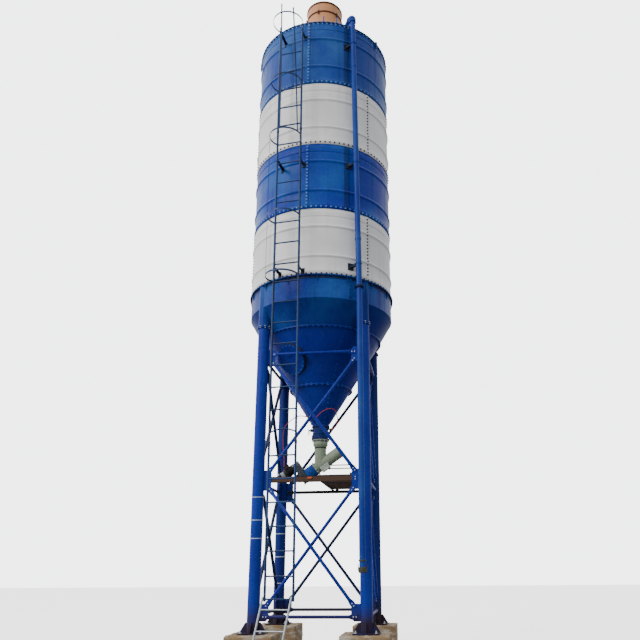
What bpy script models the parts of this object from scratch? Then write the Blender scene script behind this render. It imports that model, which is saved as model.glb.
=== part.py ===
"""A bolted cement silo on four tube legs, with its hopper, screw feeder, fill pipe, ladder and dust filter.

Metres, +Z up. Every piece is modelled around the silo's own axis, and the empty "silo_axis" then puts that
axis where the centre of the whole object's footprint falls on the origin. The floor is z = 0.
"""

import math

import bmesh
import bpy
from mathutils import Matrix, Vector

GAP = 0.0003
FOOTPRINT_SHIFT = Vector((0.0, 0.3315, 0.0))

# Shell, from the top down
SHELL_RADIUS = 1.400
SHELL_WALL = 0.006
SHELL_STEPS = 36
COURSE_TOPS = (12.393, 10.858, 9.422, 7.992, 6.631)
COURSE_NAMES = ("shell_course_top", "shell_course_upper", "shell_course_lower", "shell_course_bottom")

# Roof and dust filter
ROOF_RIM_RADIUS = 1.424
ROOF_NECK_RADIUS = 0.430
ROOF_NECK_TOP = 12.760
FILTER_RADIUS = 0.405
FILTER_SPLIT = 13.720
FILTER_TOP = 14.013

# Skirt and hopper
SKIRT_FLANGE_RADIUS = 1.438
SKIRT_RIM = 6.173
UPPER_JOINT = (5.730, 1.140)
LOWER_JOINT = (4.775, 0.567)
OUTLET = (4.080, 0.140)
FLANGE_WIDTH = 0.041
FLANGE_THICKNESS = 0.012
MANHOLE_BEARING = math.radians(-121.0)
MANHOLE_HEIGHT = 5.226
MANHOLE_RADIUS = 0.300
MANHOLE_COLLAR = 0.262
MANHOLE_COVER = (0.012, 0.032)

# Frame
LEG_SPREAD = 0.935
LEG_RADIUS = 0.103
LEG_STEPS = 16
TUBE_STEPS = 8
ROUND_STEPS = 24
LEG_FLANGE_RADIUS = 0.131
LEG_TOP = 5.785
PLINTH_TOP = 0.505
PLINTH_SIZE = 0.800
PLINTH_CENTRE = 0.920
GUSSET_THICKNESS = 0.010
TIE_RADIUS = 0.027
BRACE_RADIUS = 0.029
TIE_HEIGHTS = {"upper": 5.260, "bottom": 0.755}
BRACE_BAYS = {"upper": (0.770, 5.150, 3.095), "lower": (0.740, 2.830, 0.905)}
GUSSETS = ((5.225, 0.27, 0.130), (2.965, 0.35, 0.130), (0.820, 0.27, 0.150))
MID_TIE_HEIGHT = 2.952
SIDES = ("front", "right", "rear", "left")
CORNERS = {
    "front_left": (-1, -1),
    "front_right": (1, -1),
    "rear_right": (1, 1),
    "rear_left": (-1, 1),
}

# Ladder and its cage
LADDER_PLACE = Vector((-0.420, -1.600, 0.0))
LADDER_LEAN = 0.0050
LADDER_HEADING = math.radians(-97.5)
LADDER_HALF_WIDTH = 0.235
RAIL_RADIUS = 0.017
RUNG_RADIUS = 0.011
LADDER_FOOT = 1.020
LADDER_TOP = 12.170
RUNG_HEIGHTS = (
    [1.055]
    + [1.392 + 0.3795 * step for step in range(6)]
    + [3.676 + 0.3930 * step for step in range(8)]
    + [6.780 + 0.4245 * step for step in range(11)]
    + [11.480]
)
BOWED_RUNG = 3.676
RUNG_BOW = 0.060
STANDOFF_HEIGHTS = (6.700, 8.960, 12.010)
CAGE_RADIUS = 0.306
CAGE_OFFSET = 0.196
HOOP_HEIGHTS = (6.430, 7.620, 9.330, 10.570, 12.050)
CAGE_STRAPS = (
    ((160, 6.410), (160, 7.620), (160, 9.344)),
    ((90, 9.316), (90, 10.570), (90, 12.050), (90, 12.270)),
    ((22, 9.316), (34, 10.570), (50, 12.050), (52, 12.190)),
)
LOWER_LADDER_FOOT = Vector((-0.155, 0.215, 0.0))
LOWER_LADDER_TOP = 1.090
LOWER_LADDER_SHIFT = -0.020

# Discharge, from the outlet down
VALVE_TOP = OUTLET[0] - 0.0003
VALVE_BOTTOM = 3.822
VALVE_FLANGE_RADIUS = 0.168
BORE_RADIUS = 0.125
SPINDLE_HEIGHT = 4.015
SPINDLE_RADIUS = 0.012
DISC_RADIUS = 0.112
INLET_BOTTOM = 3.640
NECK_RADIUS = 0.100
SCREW_SLOPE = math.radians(34.4)
SCREW_RADIUS = 0.108
SCREW_AXIS_POINT = Vector((0.0, 0.0, 3.340))
SCREW_START, SCREW_END = -0.110, 0.470

# Fill pipe
PIPE_RADIUS = 0.053
PIPE_FOOT = Vector((0.905, -1.232, 1.430))
PIPE_JOINT = Vector((0.893, -1.243, 6.400))
PIPE_TOP = Vector((0.813, -1.297, 12.400))
PIPE_BEND = 0.200
PIPE_ARC_END = math.radians(138)
PIPE_ARM_HEIGHTS = (6.860, 9.020, 11.860)

# Service deck
DECK_LEFT, DECK_RIGHT = 0.090, 0.815
DECK_HALF_DEPTH = 0.885
DECK_TOP = 3.030

# Air line
AIR_RADIUS = 0.008
AIR_STEP = 0.045
AIR_ROUTE = (
    (0.2052, -0.055, 4.020),
    (0.240, -0.064, 4.020),
    (0.301, -0.090, 4.061),
    (0.345, -0.130, 4.148),
    (0.348, -0.180, 4.216),
    (0.329, -0.240, 4.298),
    (0.293, -0.280, 4.351),
    (0.224, -0.330, 4.357),
    (0.137, -0.350, 4.327),
    (0.052, -0.340, 4.278),
    (-0.039, -0.310, 4.211),
    (-0.203, -0.250, 4.226),
    (-0.372, -0.150, 4.273),
    (-0.541, 0.050, 4.273),
    (-0.745, 0.320, 4.199),
    (-0.850, 0.560, 4.090),
    (-0.880, 0.720, 3.863),
    (-0.872, 0.785, 3.631),
    (-0.870, 0.800, 3.450),
    (-0.870, 0.800, 3.3404),
)


def finish(name, colour, roughness, metallic=0.0):
    """Return a plain Principled material."""
    material = bpy.data.materials.new(name)
    material.use_nodes = True
    shader = material.node_tree.nodes["Principled BSDF"]
    shader.inputs["Base Color"].default_value = (*colour, 1.0)
    shader.inputs["Roughness"].default_value = roughness
    shader.inputs["Metallic"].default_value = metallic
    return material


def object_from(name, mesh_data, material):
    """Make an object from a bmesh, shaded smooth with sharp edges, and hang it on the silo's axis."""
    bmesh.ops.recalc_face_normals(mesh_data, faces=mesh_data.faces)
    mesh = bpy.data.meshes.new(name)
    mesh_data.to_mesh(mesh)
    mesh_data.free()
    mesh.materials.append(material)
    mesh.shade_smooth()
    mesh.set_sharp_from_angle(angle=math.radians(35))
    made = bpy.data.objects.new(name, mesh)
    bpy.context.scene.collection.objects.link(made)
    made.parent = AXIS
    return made


def combined(name, material, body, adds=(), cuts=()):
    """Union a body with closed shapes, then cut others from it. Each shape is a bmesh."""
    made = object_from(name, body, material)
    for operation, shapes in (("UNION", adds), ("DIFFERENCE", cuts)):
        for shape in shapes:
            tool = object_from(f"{name}_tool", shape, material)
            modifier = made.modifiers.new("shape", "BOOLEAN")
            modifier.object = tool
            modifier.operation = operation
            modifier.solver = "EXACT"
            graph = bpy.context.evaluated_depsgraph_get()
            graph.update()
            result = bpy.data.meshes.new_from_object(made.evaluated_get(graph))
            made.modifiers.clear()
            made.data = result
            bpy.data.objects.remove(tool)
    made.data.shade_smooth()
    made.data.set_sharp_from_angle(angle=math.radians(35))
    made.data.name = name
    return made


def turned(profile, steps=SHELL_STEPS):
    """Spin a closed profile of (radius, height) points round Z into a solid."""
    shape = bmesh.new()
    points = [shape.verts.new((radius, 0.0, height)) for radius, height in profile]
    edges = [shape.edges.new((points[i], points[(i + 1) % len(points)])) for i in range(len(points))]
    bmesh.ops.spin(
        shape,
        geom=points + edges,
        cent=(0, 0, 0),
        axis=(0, 0, 1),
        dvec=(0, 0, 0),
        angle=math.tau,
        steps=steps,
        use_merge=True,
    )
    bmesh.ops.remove_doubles(shape, verts=shape.verts, dist=1e-6)
    bmesh.ops.dissolve_degenerate(shape, edges=shape.edges, dist=1e-7)
    return shape


def add_rod(shape, start, end, radius, sides=10):
    """Add a closed round bar between two points."""
    start, end = Vector(start), Vector(end)
    run = end - start
    turn = run.to_track_quat("Z", "X").to_matrix().to_4x4()
    bmesh.ops.create_cone(
        shape,
        cap_ends=True,
        segments=sides,
        radius1=radius,
        radius2=radius,
        depth=run.length,
        matrix=Matrix.Translation((start + end) / 2) @ turn,
    )


def rods(pairs, radius, sides=10):
    """Return a bmesh of separate round bars."""
    shape = bmesh.new()
    for start, end in pairs:
        add_rod(shape, start, end, radius, sides)
    return shape


def boxes(*blocks):
    """Return a bmesh of boxes, each (size, centre) or (size, matrix)."""
    shape = bmesh.new()
    for size, place in blocks:
        place = place if isinstance(place, Matrix) else Matrix.Translation(place)
        bmesh.ops.create_cube(shape, size=1.0, matrix=place @ Matrix.Diagonal((*size, 1.0)))
    return shape


def moved(shape, matrix):
    """Transform a whole bmesh and return it."""
    bmesh.ops.transform(shape, matrix=matrix, verts=shape.verts)
    return shape


def outset(radius, steps, gap=GAP):
    """Radius of a many-sided cutter whose flats stand the gap outside those of the given radius."""
    return radius + gap / math.cos(math.pi / steps)


def shell_cutter():
    """The shell as a solid, a hair larger, to trim what is fixed to it."""
    radius = outset(SHELL_RADIUS, SHELL_STEPS)
    high, low = COURSE_TOPS[0] + 0.6, COURSE_TOPS[-1] - 1.0
    return turned([(0.0, low), (radius, low), (radius, high), (0.0, high)])


def turned_side(side):
    """Rotation that carries the front face of the frame to another side."""
    return Matrix.Rotation(SIDES.index(side) * math.pi / 2, 4, "Z")


def build_plinths():
    """Four concrete blocks with a small chamfer round the top."""
    for corner, (x, y) in CORNERS.items():
        block = boxes(
            ((PLINTH_SIZE, PLINTH_SIZE, PLINTH_TOP), (x * PLINTH_CENTRE, y * PLINTH_CENTRE, PLINTH_TOP / 2))
        )
        top_edges = [e for e in block.edges if all(v.co.z > PLINTH_TOP - 1e-4 for v in e.verts)]
        bmesh.ops.bevel(block, geom=top_edges, offset=0.02, segments=1, affect="EDGES")
        object_from(f"plinth_{corner}", block, CONCRETE)


def fin(width, height, thickness, direction, at):
    """A trapezoid stiffener standing on a base plate, running out from a leg."""
    foot, top = LEG_RADIUS + width, LEG_RADIUS + 0.025
    outline = [(0.05, 0.0), (foot, 0.0), (foot, 0.02), (top, height), (0.05, height)]
    shape = bmesh.new()
    sides = []
    for offset in (-thickness / 2, thickness / 2):
        sides.append([shape.verts.new((r, offset, z)) for r, z in outline])
    shape.faces.new(sides[0])
    shape.faces.new(sides[1])
    for i in range(len(outline)):
        j = (i + 1) % len(outline)
        shape.faces.new((sides[0][i], sides[0][j], sides[1][j], sides[1][i]))
    return moved(shape, Matrix.Translation(at) @ Matrix.Rotation(direction, 4, "Z"))


def build_legs():
    """Tube legs: base plate with fins, top flange and the welded gusset plates of two sides of the frame."""
    for corner, (x, y) in CORNERS.items():
        centre = Vector((x * LEG_SPREAD, y * LEG_SPREAD, 0))
        floor = PLINTH_TOP + GAP
        base_top = floor + 0.016
        tube = rods([(centre + Vector((0, 0, floor)), centre + Vector((0, 0, LEG_TOP)))], LEG_RADIUS, LEG_STEPS)
        plate = boxes(((0.430, 0.430, 0.016), centre + Vector((0, 0, floor + 0.008))))
        flange = rods(
            [(centre + Vector((0, 0, LEG_TOP - 0.014)), centre + Vector((0, 0, LEG_TOP)))],
            LEG_FLANGE_RADIUS,
            LEG_STEPS,
        )
        fins = [
            fin(0.108, 0.150, 0.010, quarter * math.pi / 2, centre + Vector((0, 0, base_top - 0.002)))
            for quarter in range(4)
        ]
        gussets = []
        for height, tall, wide in GUSSETS:
            inner = LEG_RADIUS - 0.02
            reach = inner + (wide + 0.02) / 2
            size = wide + 0.02
            gussets.append(
                boxes(((size, GUSSET_THICKNESS, tall), centre + Vector((-x * reach, 0, height))))
            )
            gussets.append(
                boxes(((GUSSET_THICKNESS, size, tall), centre + Vector((0, -y * reach, height))))
            )
        combined(f"leg_{corner}", FRAME_BLUE, tube, adds=[plate, flange, *fins, *gussets])


def build_frame_ties():
    """Level tubes on all four sides at the top and bottom, and on the two flanks at deck height."""
    offset = GUSSET_THICKNESS / 2 + GAP + TIE_RADIUS
    reach = LEG_SPREAD - LEG_RADIUS - 0.045
    levels = [(name, height, SIDES) for name, height in TIE_HEIGHTS.items()]
    levels.append(("mid", MID_TIE_HEIGHT, ("right", "left")))
    for name, height, sides in levels:
        for side in sides:
            line = -LEG_SPREAD - offset
            tie = rods([((-reach, line, height), (reach, line, height))], TIE_RADIUS, TUBE_STEPS)
            object_from(f"{name}_tie_{side}", moved(tie, turned_side(side)), FRAME_BLUE)


def build_frame_braces():
    """Crossed diagonals, one in front of the gusset plates and one behind them."""
    offset = GUSSET_THICKNESS / 2 + GAP + BRACE_RADIUS
    for bay, (reach, top, bottom) in BRACE_BAYS.items():
        for side in SIDES:
            for lean, face in (("a", -1), ("b", 1)):
                line = -LEG_SPREAD + face * offset
                start = (face * reach, line, top)
                end = (-face * reach, line, bottom)
                brace = rods([(start, end)], BRACE_RADIUS, TUBE_STEPS)
                object_from(f"{bay}_brace_{side}_{lean}", moved(brace, turned_side(side)), FRAME_BLUE)


def build_shell():
    """Four plain courses of sheet, stacked with a hair's gap."""
    inner = SHELL_RADIUS - SHELL_WALL
    for name, top, bottom, paint in zip(
        COURSE_NAMES, COURSE_TOPS, COURSE_TOPS[1:], (SHELL_BLUE, SHELL_WHITE, SHELL_BLUE, SHELL_WHITE)
    ):
        high, low = top - GAP / 2, bottom + GAP / 2
        profile = [(inner, low), (inner, high), (SHELL_RADIUS, high), (SHELL_RADIUS, low)]
        object_from(name, turned(profile), paint)


def build_roof():
    """Low cone with a rim flange, a neck for the filter and a collar for the fill pipe."""
    base = COURSE_TOPS[0] + GAP / 2
    wall = 0.006
    rise = ROOF_NECK_TOP - base - 0.100
    inner_rim = SHELL_RADIUS - 0.03
    profile = [
        (inner_rim, base),
        (ROOF_RIM_RADIUS, base),
        (ROOF_RIM_RADIUS, base + 0.012),
        (ROOF_NECK_RADIUS, base + rise),
        (ROOF_NECK_RADIUS, ROOF_NECK_TOP - 0.012),
        (ROOF_NECK_RADIUS + 0.035, ROOF_NECK_TOP - 0.012),
        (ROOF_NECK_RADIUS + 0.035, ROOF_NECK_TOP),
        (ROOF_NECK_RADIUS - wall - 0.034, ROOF_NECK_TOP),
        (ROOF_NECK_RADIUS - wall - 0.034, ROOF_NECK_TOP - 0.012),
        (ROOF_NECK_RADIUS - wall, ROOF_NECK_TOP - 0.012),
        (ROOF_NECK_RADIUS - wall, base + rise - wall),
        (inner_rim, base + 0.012),
    ]
    collar_start, along = pipe_arc_end()
    collar = rods([(collar_start + along * GAP, collar_start + along * 0.12)], PIPE_RADIUS + 0.010, 16)
    combined("roof", ROOF_BLUE, turned(profile), adds=[collar])


def build_filter():
    """Round dust filter: housing with a rim band, and a shallow domed cover."""
    base = ROOF_NECK_TOP + GAP
    band = 0.028
    top = FILTER_SPLIT - GAP / 2
    housing = [
        (0.0, base),
        (ROOF_NECK_RADIUS + 0.030, base),
        (ROOF_NECK_RADIUS + 0.030, base + 0.012),
        (FILTER_RADIUS, base + 0.012),
        (FILTER_RADIUS, top - band),
        (FILTER_RADIUS + 0.012, top - band),
        (FILTER_RADIUS + 0.012, top),
        (0.0, top),
    ]
    object_from("filter_housing", turned(housing, ROUND_STEPS), FILTER_TAN)
    low = FILTER_SPLIT + GAP / 2
    cover = [
        (0.0, low),
        (FILTER_RADIUS + 0.012, low),
        (FILTER_RADIUS + 0.012, low + 0.010),
        (FILTER_RADIUS, low + 0.010),
        (FILTER_RADIUS, FILTER_TOP - 0.045),
        (FILTER_RADIUS + 0.012, FILTER_TOP - 0.045),
        (FILTER_RADIUS + 0.012, FILTER_TOP - 0.022),
        (0.0, FILTER_TOP),
    ]
    object_from("filter_cover", turned(cover, ROUND_STEPS), FILTER_TAN)


def hopper_radius(height):
    """Outside radius of the hopper's cone at a height."""
    levels = ((SKIRT_RIM, SHELL_RADIUS - SHELL_WALL), UPPER_JOINT, LOWER_JOINT, OUTLET)
    for (high, wide), (low, narrow) in zip(levels, levels[1:]):
        if height >= low:
            return narrow + (wide - narrow) * (height - low) / (high - low) + SHELL_WALL
    return OUTLET[1] + SHELL_WALL


def cone_segment(upper, lower, top_flange, bottom_flange):
    """Profile of one hopper cone: (height, inner radius) at both ends, and its flanges' outer radii."""
    (high, wide), (low, narrow) = upper, lower
    high, low = high - GAP / 2, low + GAP / 2
    thick = FLANGE_THICKNESS
    slope = (wide - narrow) / (high - low)
    return [
        (narrow, low),
        (bottom_flange, low),
        (bottom_flange, low + thick),
        (narrow + SHELL_WALL + slope * thick, low + thick),
        (wide + SHELL_WALL - slope * thick, high - thick),
        (top_flange, high - thick),
        (top_flange, high),
        (wide, high),
    ]


def build_skirt():
    """The bottom ring that carries the silo: flange, band, first cone and the leg stubs, clear of the inside."""
    top = COURSE_TOPS[-1] - GAP / 2
    inner = SHELL_RADIUS - SHELL_WALL
    joint_height, joint_radius = UPPER_JOINT
    low = joint_height + GAP / 2
    thick = FLANGE_THICKNESS
    slope = (inner - joint_radius) / (SKIRT_RIM - joint_height)
    profile = [
        (joint_radius, low),
        (joint_radius + FLANGE_WIDTH, low),
        (joint_radius + FLANGE_WIDTH, low + thick),
        (joint_radius + SHELL_WALL + slope * thick, low + thick),
        (SHELL_RADIUS, SKIRT_RIM),
        (SHELL_RADIUS, top - 0.020),
        (SKIRT_FLANGE_RADIUS, top - 0.020),
        (SKIRT_FLANGE_RADIUS, top),
        (inner, top),
        (inner, SKIRT_RIM + 0.003),
    ]
    stubs = bmesh.new()
    flanges = bmesh.new()
    for x, y in CORNERS.values():
        centre = Vector((x * LEG_SPREAD, y * LEG_SPREAD, 0))
        foot = centre + Vector((0, 0, LEG_TOP + GAP))
        add_rod(stubs, foot, centre + Vector((0, 0, top - 0.010)), LEG_RADIUS, LEG_STEPS)
        add_rod(flanges, foot, foot + Vector((0, 0, 0.014)), LEG_FLANGE_RADIUS, LEG_STEPS)
    smooth = 0.002
    inside = turned(
        [
            (0.0, low - 0.1),
            (joint_radius - smooth, low - 0.1),
            (joint_radius - smooth, low),
            (inner - smooth, SKIRT_RIM + 0.003),
            (inner - smooth, top + 0.1),
            (0.0, top + 0.1),
        ]
    )
    combined("skirt_ring", FRAME_BLUE, turned(profile), adds=[stubs, flanges], cuts=[inside])


def build_hopper():
    """The two lower hopper cones, bolted together at their flanges."""
    joint_flange = UPPER_JOINT[1] + FLANGE_WIDTH
    lower_flange = LOWER_JOINT[1] + FLANGE_WIDTH
    middle = cone_segment(UPPER_JOINT, LOWER_JOINT, joint_flange, lower_flange)
    object_from("hopper_middle", turned(middle), HOPPER_BLUE)
    lowest = cone_segment(LOWER_JOINT, OUTLET, lower_flange, VALVE_FLANGE_RADIUS)
    object_from("hopper_lower", turned(lowest), HOPPER_BLUE)


def build_manhole():
    """Round bolted cover on a short collar, standing square to the middle cone."""
    radius = hopper_radius(MANHOLE_HEIGHT)
    slope = (UPPER_JOINT[1] - LOWER_JOINT[1]) / (UPPER_JOINT[0] - LOWER_JOINT[0])
    outward = Vector((math.cos(MANHOLE_BEARING), math.sin(MANHOLE_BEARING), 0))
    normal = (outward - Vector((0, 0, slope))).normalized()
    centre = outward * radius + Vector((0, 0, MANHOLE_HEIGHT))
    inner, outer = MANHOLE_COVER
    collar = rods([(centre - normal * 0.080, centre + normal * (inner + 0.004))], MANHOLE_COLLAR, 24)
    cover = rods([(centre + normal * inner, centre + normal * outer)], MANHOLE_RADIUS, 24)
    margin = outset(0, SHELL_STEPS) / math.cos(math.atan(slope))
    high, low = UPPER_JOINT[0] - FLANGE_THICKNESS, LOWER_JOINT[0] + FLANGE_THICKNESS
    cone = turned(
        [
            (0.0, low),
            (hopper_radius(low) + margin, low),
            (hopper_radius(high) + margin, high),
            (0.0, high),
        ]
    )
    combined("manhole_cover", HOPPER_BLUE, collar, adds=[cover], cuts=[cone])


def build_valve():
    """Butterfly valve body with an open bore, and the lever, spindle and disc that turn in it."""
    top, low, wide = VALVE_TOP, VALVE_BOTTOM, VALVE_FLANGE_RADIUS
    body = [
        (BORE_RADIUS, low),
        (wide, low),
        (wide, low + 0.014),
        (0.147, low + 0.018),
        (0.147, top - 0.018),
        (wide, top - 0.014),
        (wide, top),
        (BORE_RADIUS, top),
    ]
    boss = rods([((-0.200, 0, SPINDLE_HEIGHT), (-0.130, 0, SPINDLE_HEIGHT))], 0.030, 16)
    bore = rods([((-0.260, 0, SPINDLE_HEIGHT), (-0.100, 0, SPINDLE_HEIGHT))], SPINDLE_RADIUS + 0.001, 16)
    socket_end = Vector((AIR_ROUTE[0][0], AIR_ROUTE[0][1], 0)) * 0.997 + Vector((0, 0, AIR_ROUTE[0][2]))
    socket = rods([(socket_end - Vector((0.075, -0.020, 0)), socket_end)], 0.016, 12)
    combined("valve_body", VALVE_BLUE, turned(body, ROUND_STEPS), adds=[boss, socket], cuts=[bore])

    spindle = rods([((-0.238, 0, 0), (0.060, 0, 0))], SPINDLE_RADIUS, 12)
    disc = rods([((0, -0.005, 0), (0, 0.005, 0))], DISC_RADIUS, 22)
    hub = boxes(((0.012, 0.050, 0.050), (-0.228, 0, 0)))
    arm = boxes(((0.010, 0.030, 0.092), (-0.227, 0, -0.044)))
    lever = combined("valve_lever", LEVER_BLACK, spindle, adds=[disc, hub, arm])
    lever.location = (0.0, 0.0, SPINDLE_HEIGHT)


def screw_place(along, up=0.0, side=0.0):
    """Point in the feeder's own axes: along the tube, square above it and across it."""
    run = Vector((math.cos(SCREW_SLOPE), 0, math.sin(SCREW_SLOPE)))
    rise = Vector((-math.sin(SCREW_SLOPE), 0, math.cos(SCREW_SLOPE)))
    return SCREW_AXIS_POINT + run * along + rise * up + Vector((0, side, 0))


def screw_matrix(along, up=0.0, side=0.0):
    """Matrix whose X axis runs up the feeder tube."""
    return Matrix.Translation(screw_place(along, up, side)) @ Matrix.Rotation(-SCREW_SLOPE, 4, "Y")


def build_inlet():
    """Ball joint under the valve, open through."""
    top = VALVE_BOTTOM - GAP
    outside = [
        (0.165, top),
        (0.165, top - 0.014),
        (0.122, top - 0.016),
        (0.135, top - 0.045),
        (0.133, top - 0.075),
        (0.108, top - 0.150),
        (0.108, INLET_BOTTOM + GAP),
    ]
    inside = [(radius - 0.008, height) for radius, height in reversed(outside[2:])]
    inside[0] = (NECK_RADIUS - 0.006, INLET_BOTTOM + GAP)
    profile = outside + inside + [(0.114, top)]
    object_from("ball_joint", turned(profile, ROUND_STEPS), FEEDER_GREEN)


def build_screw_feeder():
    """Inclined feeder tube with its inlet neck and inspection hatch, then the drive and the motor."""
    tube = rods([(screw_place(SCREW_START), screw_place(SCREW_END))], SCREW_RADIUS, 24)
    end_ring = rods([(screw_place(SCREW_START), screw_place(SCREW_START + 0.014))], 0.128, 24)
    neck = rods([((0, 0, SCREW_AXIS_POINT.z), (0, 0, INLET_BOTTOM))], NECK_RADIUS, 24)
    hatch = boxes(((0.190, 0.060, 0.110), screw_matrix(0.165, -0.062, -0.088)))
    hollow = rods([((0, 0, SCREW_AXIS_POINT.z), (0, 0, INLET_BOTTOM + 0.01))], NECK_RADIUS - 0.006, 24)
    combined("feeder_tube", FEEDER_GREEN, tube, adds=[end_ring, neck, hatch], cuts=[hollow])

    drum = rods([(screw_place(-0.300), screw_place(SCREW_START - GAP))], 0.132, 20)
    housing = boxes(((0.125, 0.214, 0.310), screw_matrix(-0.362, 0.088)))
    foot = rods([(screw_place(-0.425, 0), screw_place(-0.300, 0))], 0.118, 20)
    head = rods([(screw_place(-0.425, 0.215), screw_place(-0.300, 0.215))], 0.110, 20)
    combined("feeder_drive", DRIVE_GREY, drum, adds=[housing, foot, head])

    motor_start = -0.425 - GAP
    body = rods([(screw_place(-0.640, 0.245), screw_place(motor_start, 0.245))], 0.090, 20)
    terminal_box = boxes(((0.100, 0.090, 0.070), screw_matrix(-0.540, 0.345)))
    combined("drive_motor", MOTOR_DARK, body, adds=[terminal_box])


def pipe_plane():
    """Unit vector from the silo's axis out to the top of the fill pipe."""
    return Vector((PIPE_TOP.x, PIPE_TOP.y, 0)).normalized()


def pipe_arc(angle):
    """Point on the bend at the pipe's top, measured from the vertical pipe."""
    out = pipe_plane()
    middle = PIPE_TOP - out * PIPE_BEND
    return middle + out * (PIPE_BEND * math.cos(angle)) + Vector((0, 0, PIPE_BEND * math.sin(angle)))


def pipe_arc_end():
    """Where the bend stops above the roof, and the way it points there."""
    out = pipe_plane()
    along = -out * math.sin(PIPE_ARC_END) + Vector((0, 0, math.cos(PIPE_ARC_END)))
    return pipe_arc(PIPE_ARC_END), along.normalized()


def build_fill_pipe():
    """Fill pipe from its hose coupling up the shell and over the rim, with its couplings and wall arms."""
    route = [PIPE_FOOT, PIPE_JOINT, PIPE_TOP]
    steps = 9
    route += [pipe_arc(PIPE_ARC_END * step / steps) for step in range(1, steps + 1)]
    curve = bpy.data.curves.new("fill_pipe", "CURVE")
    curve.dimensions = "3D"
    curve.bevel_depth = PIPE_RADIUS
    curve.bevel_resolution = 4
    curve.use_fill_caps = True
    spline = curve.splines.new("POLY")
    spline.points.add(len(route) - 1)
    for point, place in zip(spline.points, route):
        point.co = (*place, 1.0)
    swept = bpy.data.objects.new("fill_pipe_run", curve)
    bpy.context.scene.collection.objects.link(swept)
    graph = bpy.context.evaluated_depsgraph_get()
    graph.update()
    pipe = bmesh.new()
    pipe.from_mesh(bpy.data.meshes.new_from_object(swept.evaluated_get(graph)))
    bmesh.ops.remove_doubles(pipe, verts=pipe.verts, dist=1e-5)
    bpy.data.objects.remove(swept)

    def on_pipe(height):
        low, high = (PIPE_FOOT, PIPE_JOINT) if height < PIPE_JOINT.z else (PIPE_JOINT, PIPE_TOP)
        return low.lerp(high, (height - low.z) / (high.z - low.z))

    couplings = bmesh.new()
    for height, tall, radius in (
        (1.480, 0.080, 0.068),
        (1.620, 0.030, 0.062),
        (PIPE_JOINT.z, 0.030, 0.085),
        (7.380, 0.060, 0.060),
        (11.290, 0.060, 0.060),
    ):
        add_rod(couplings, on_pipe(height - tall / 2), on_pipe(height + tall / 2), radius, 16)
    arms = bmesh.new()
    for height in PIPE_ARM_HEIGHTS:
        start = on_pipe(height)
        inward = Vector((-start.x, -start.y, 0)).normalized()
        end = start + inward * (Vector((start.x, start.y, 0)).length - SHELL_RADIUS + 0.06)
        turn = Matrix.Rotation(math.atan2(inward.y, inward.x), 4, "Z")
        length = (end - start).length
        place = Matrix.Translation((start + end) / 2) @ turn
        bmesh.ops.create_cube(arms, size=1.0, matrix=place @ Matrix.Diagonal((length, 0.045, 0.045, 1.0)))
    combined("fill_pipe", PIPE_BLUE, pipe, adds=[couplings, arms], cuts=[shell_cutter()])


def ladder_point(across, out, height):
    """Point in the ladder's own frame: across to the right, out from the shell, and up. It leans a little."""
    outward = Vector((math.cos(LADDER_HEADING), math.sin(LADDER_HEADING), 0))
    right = Vector((-outward.y, outward.x, 0))
    lean = LADDER_LEAN * (LADDER_TOP - height)
    return LADDER_PLACE + right * (across + lean) + outward * out + Vector((0, 0, height))


def ladder_rails(radius):
    """The two upright rails of the tall ladder."""
    sides = (-LADDER_HALF_WIDTH, LADDER_HALF_WIDTH)
    return rods(
        [(ladder_point(side, 0, LADDER_FOOT), ladder_point(side, 0, LADDER_TOP)) for side in sides], radius, TUBE_STEPS
    )


def build_ladder():
    """Tall ladder with round rungs, one of them bowed up, and its arms back to the shell."""
    half = LADDER_HALF_WIDTH
    rungs = bmesh.new()
    for height in RUNG_HEIGHTS:
        if height != BOWED_RUNG:
            add_rod(rungs, ladder_point(-half, 0, height), ladder_point(half, 0, height), RUNG_RADIUS, 6)
    crown = BOWED_RUNG + RUNG_BOW
    bow_left = rods([(ladder_point(-half, 0, BOWED_RUNG), ladder_point(0.01, 0, crown))], RUNG_RADIUS, 6)
    bow_right = rods([(ladder_point(-0.01, 0, crown + 0.003), ladder_point(half, 0, BOWED_RUNG))], RUNG_RADIUS, 6)
    arms = bmesh.new()
    turn = Matrix.Rotation(LADDER_HEADING, 4, "Z")
    for height in STANDOFF_HEIGHTS:
        for side in (-half, half):
            place = Matrix.Translation(ladder_point(side, -0.16, height)) @ turn
            bmesh.ops.create_cube(arms, size=1.0, matrix=place @ Matrix.Diagonal((0.340, 0.008, 0.040, 1.0)))
    combined(
        "ladder",
        LADDER_BLUE,
        ladder_rails(RAIL_RADIUS),
        adds=[rungs, bow_left, bow_right, arms],
        cuts=[shell_cutter()],
    )


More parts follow.
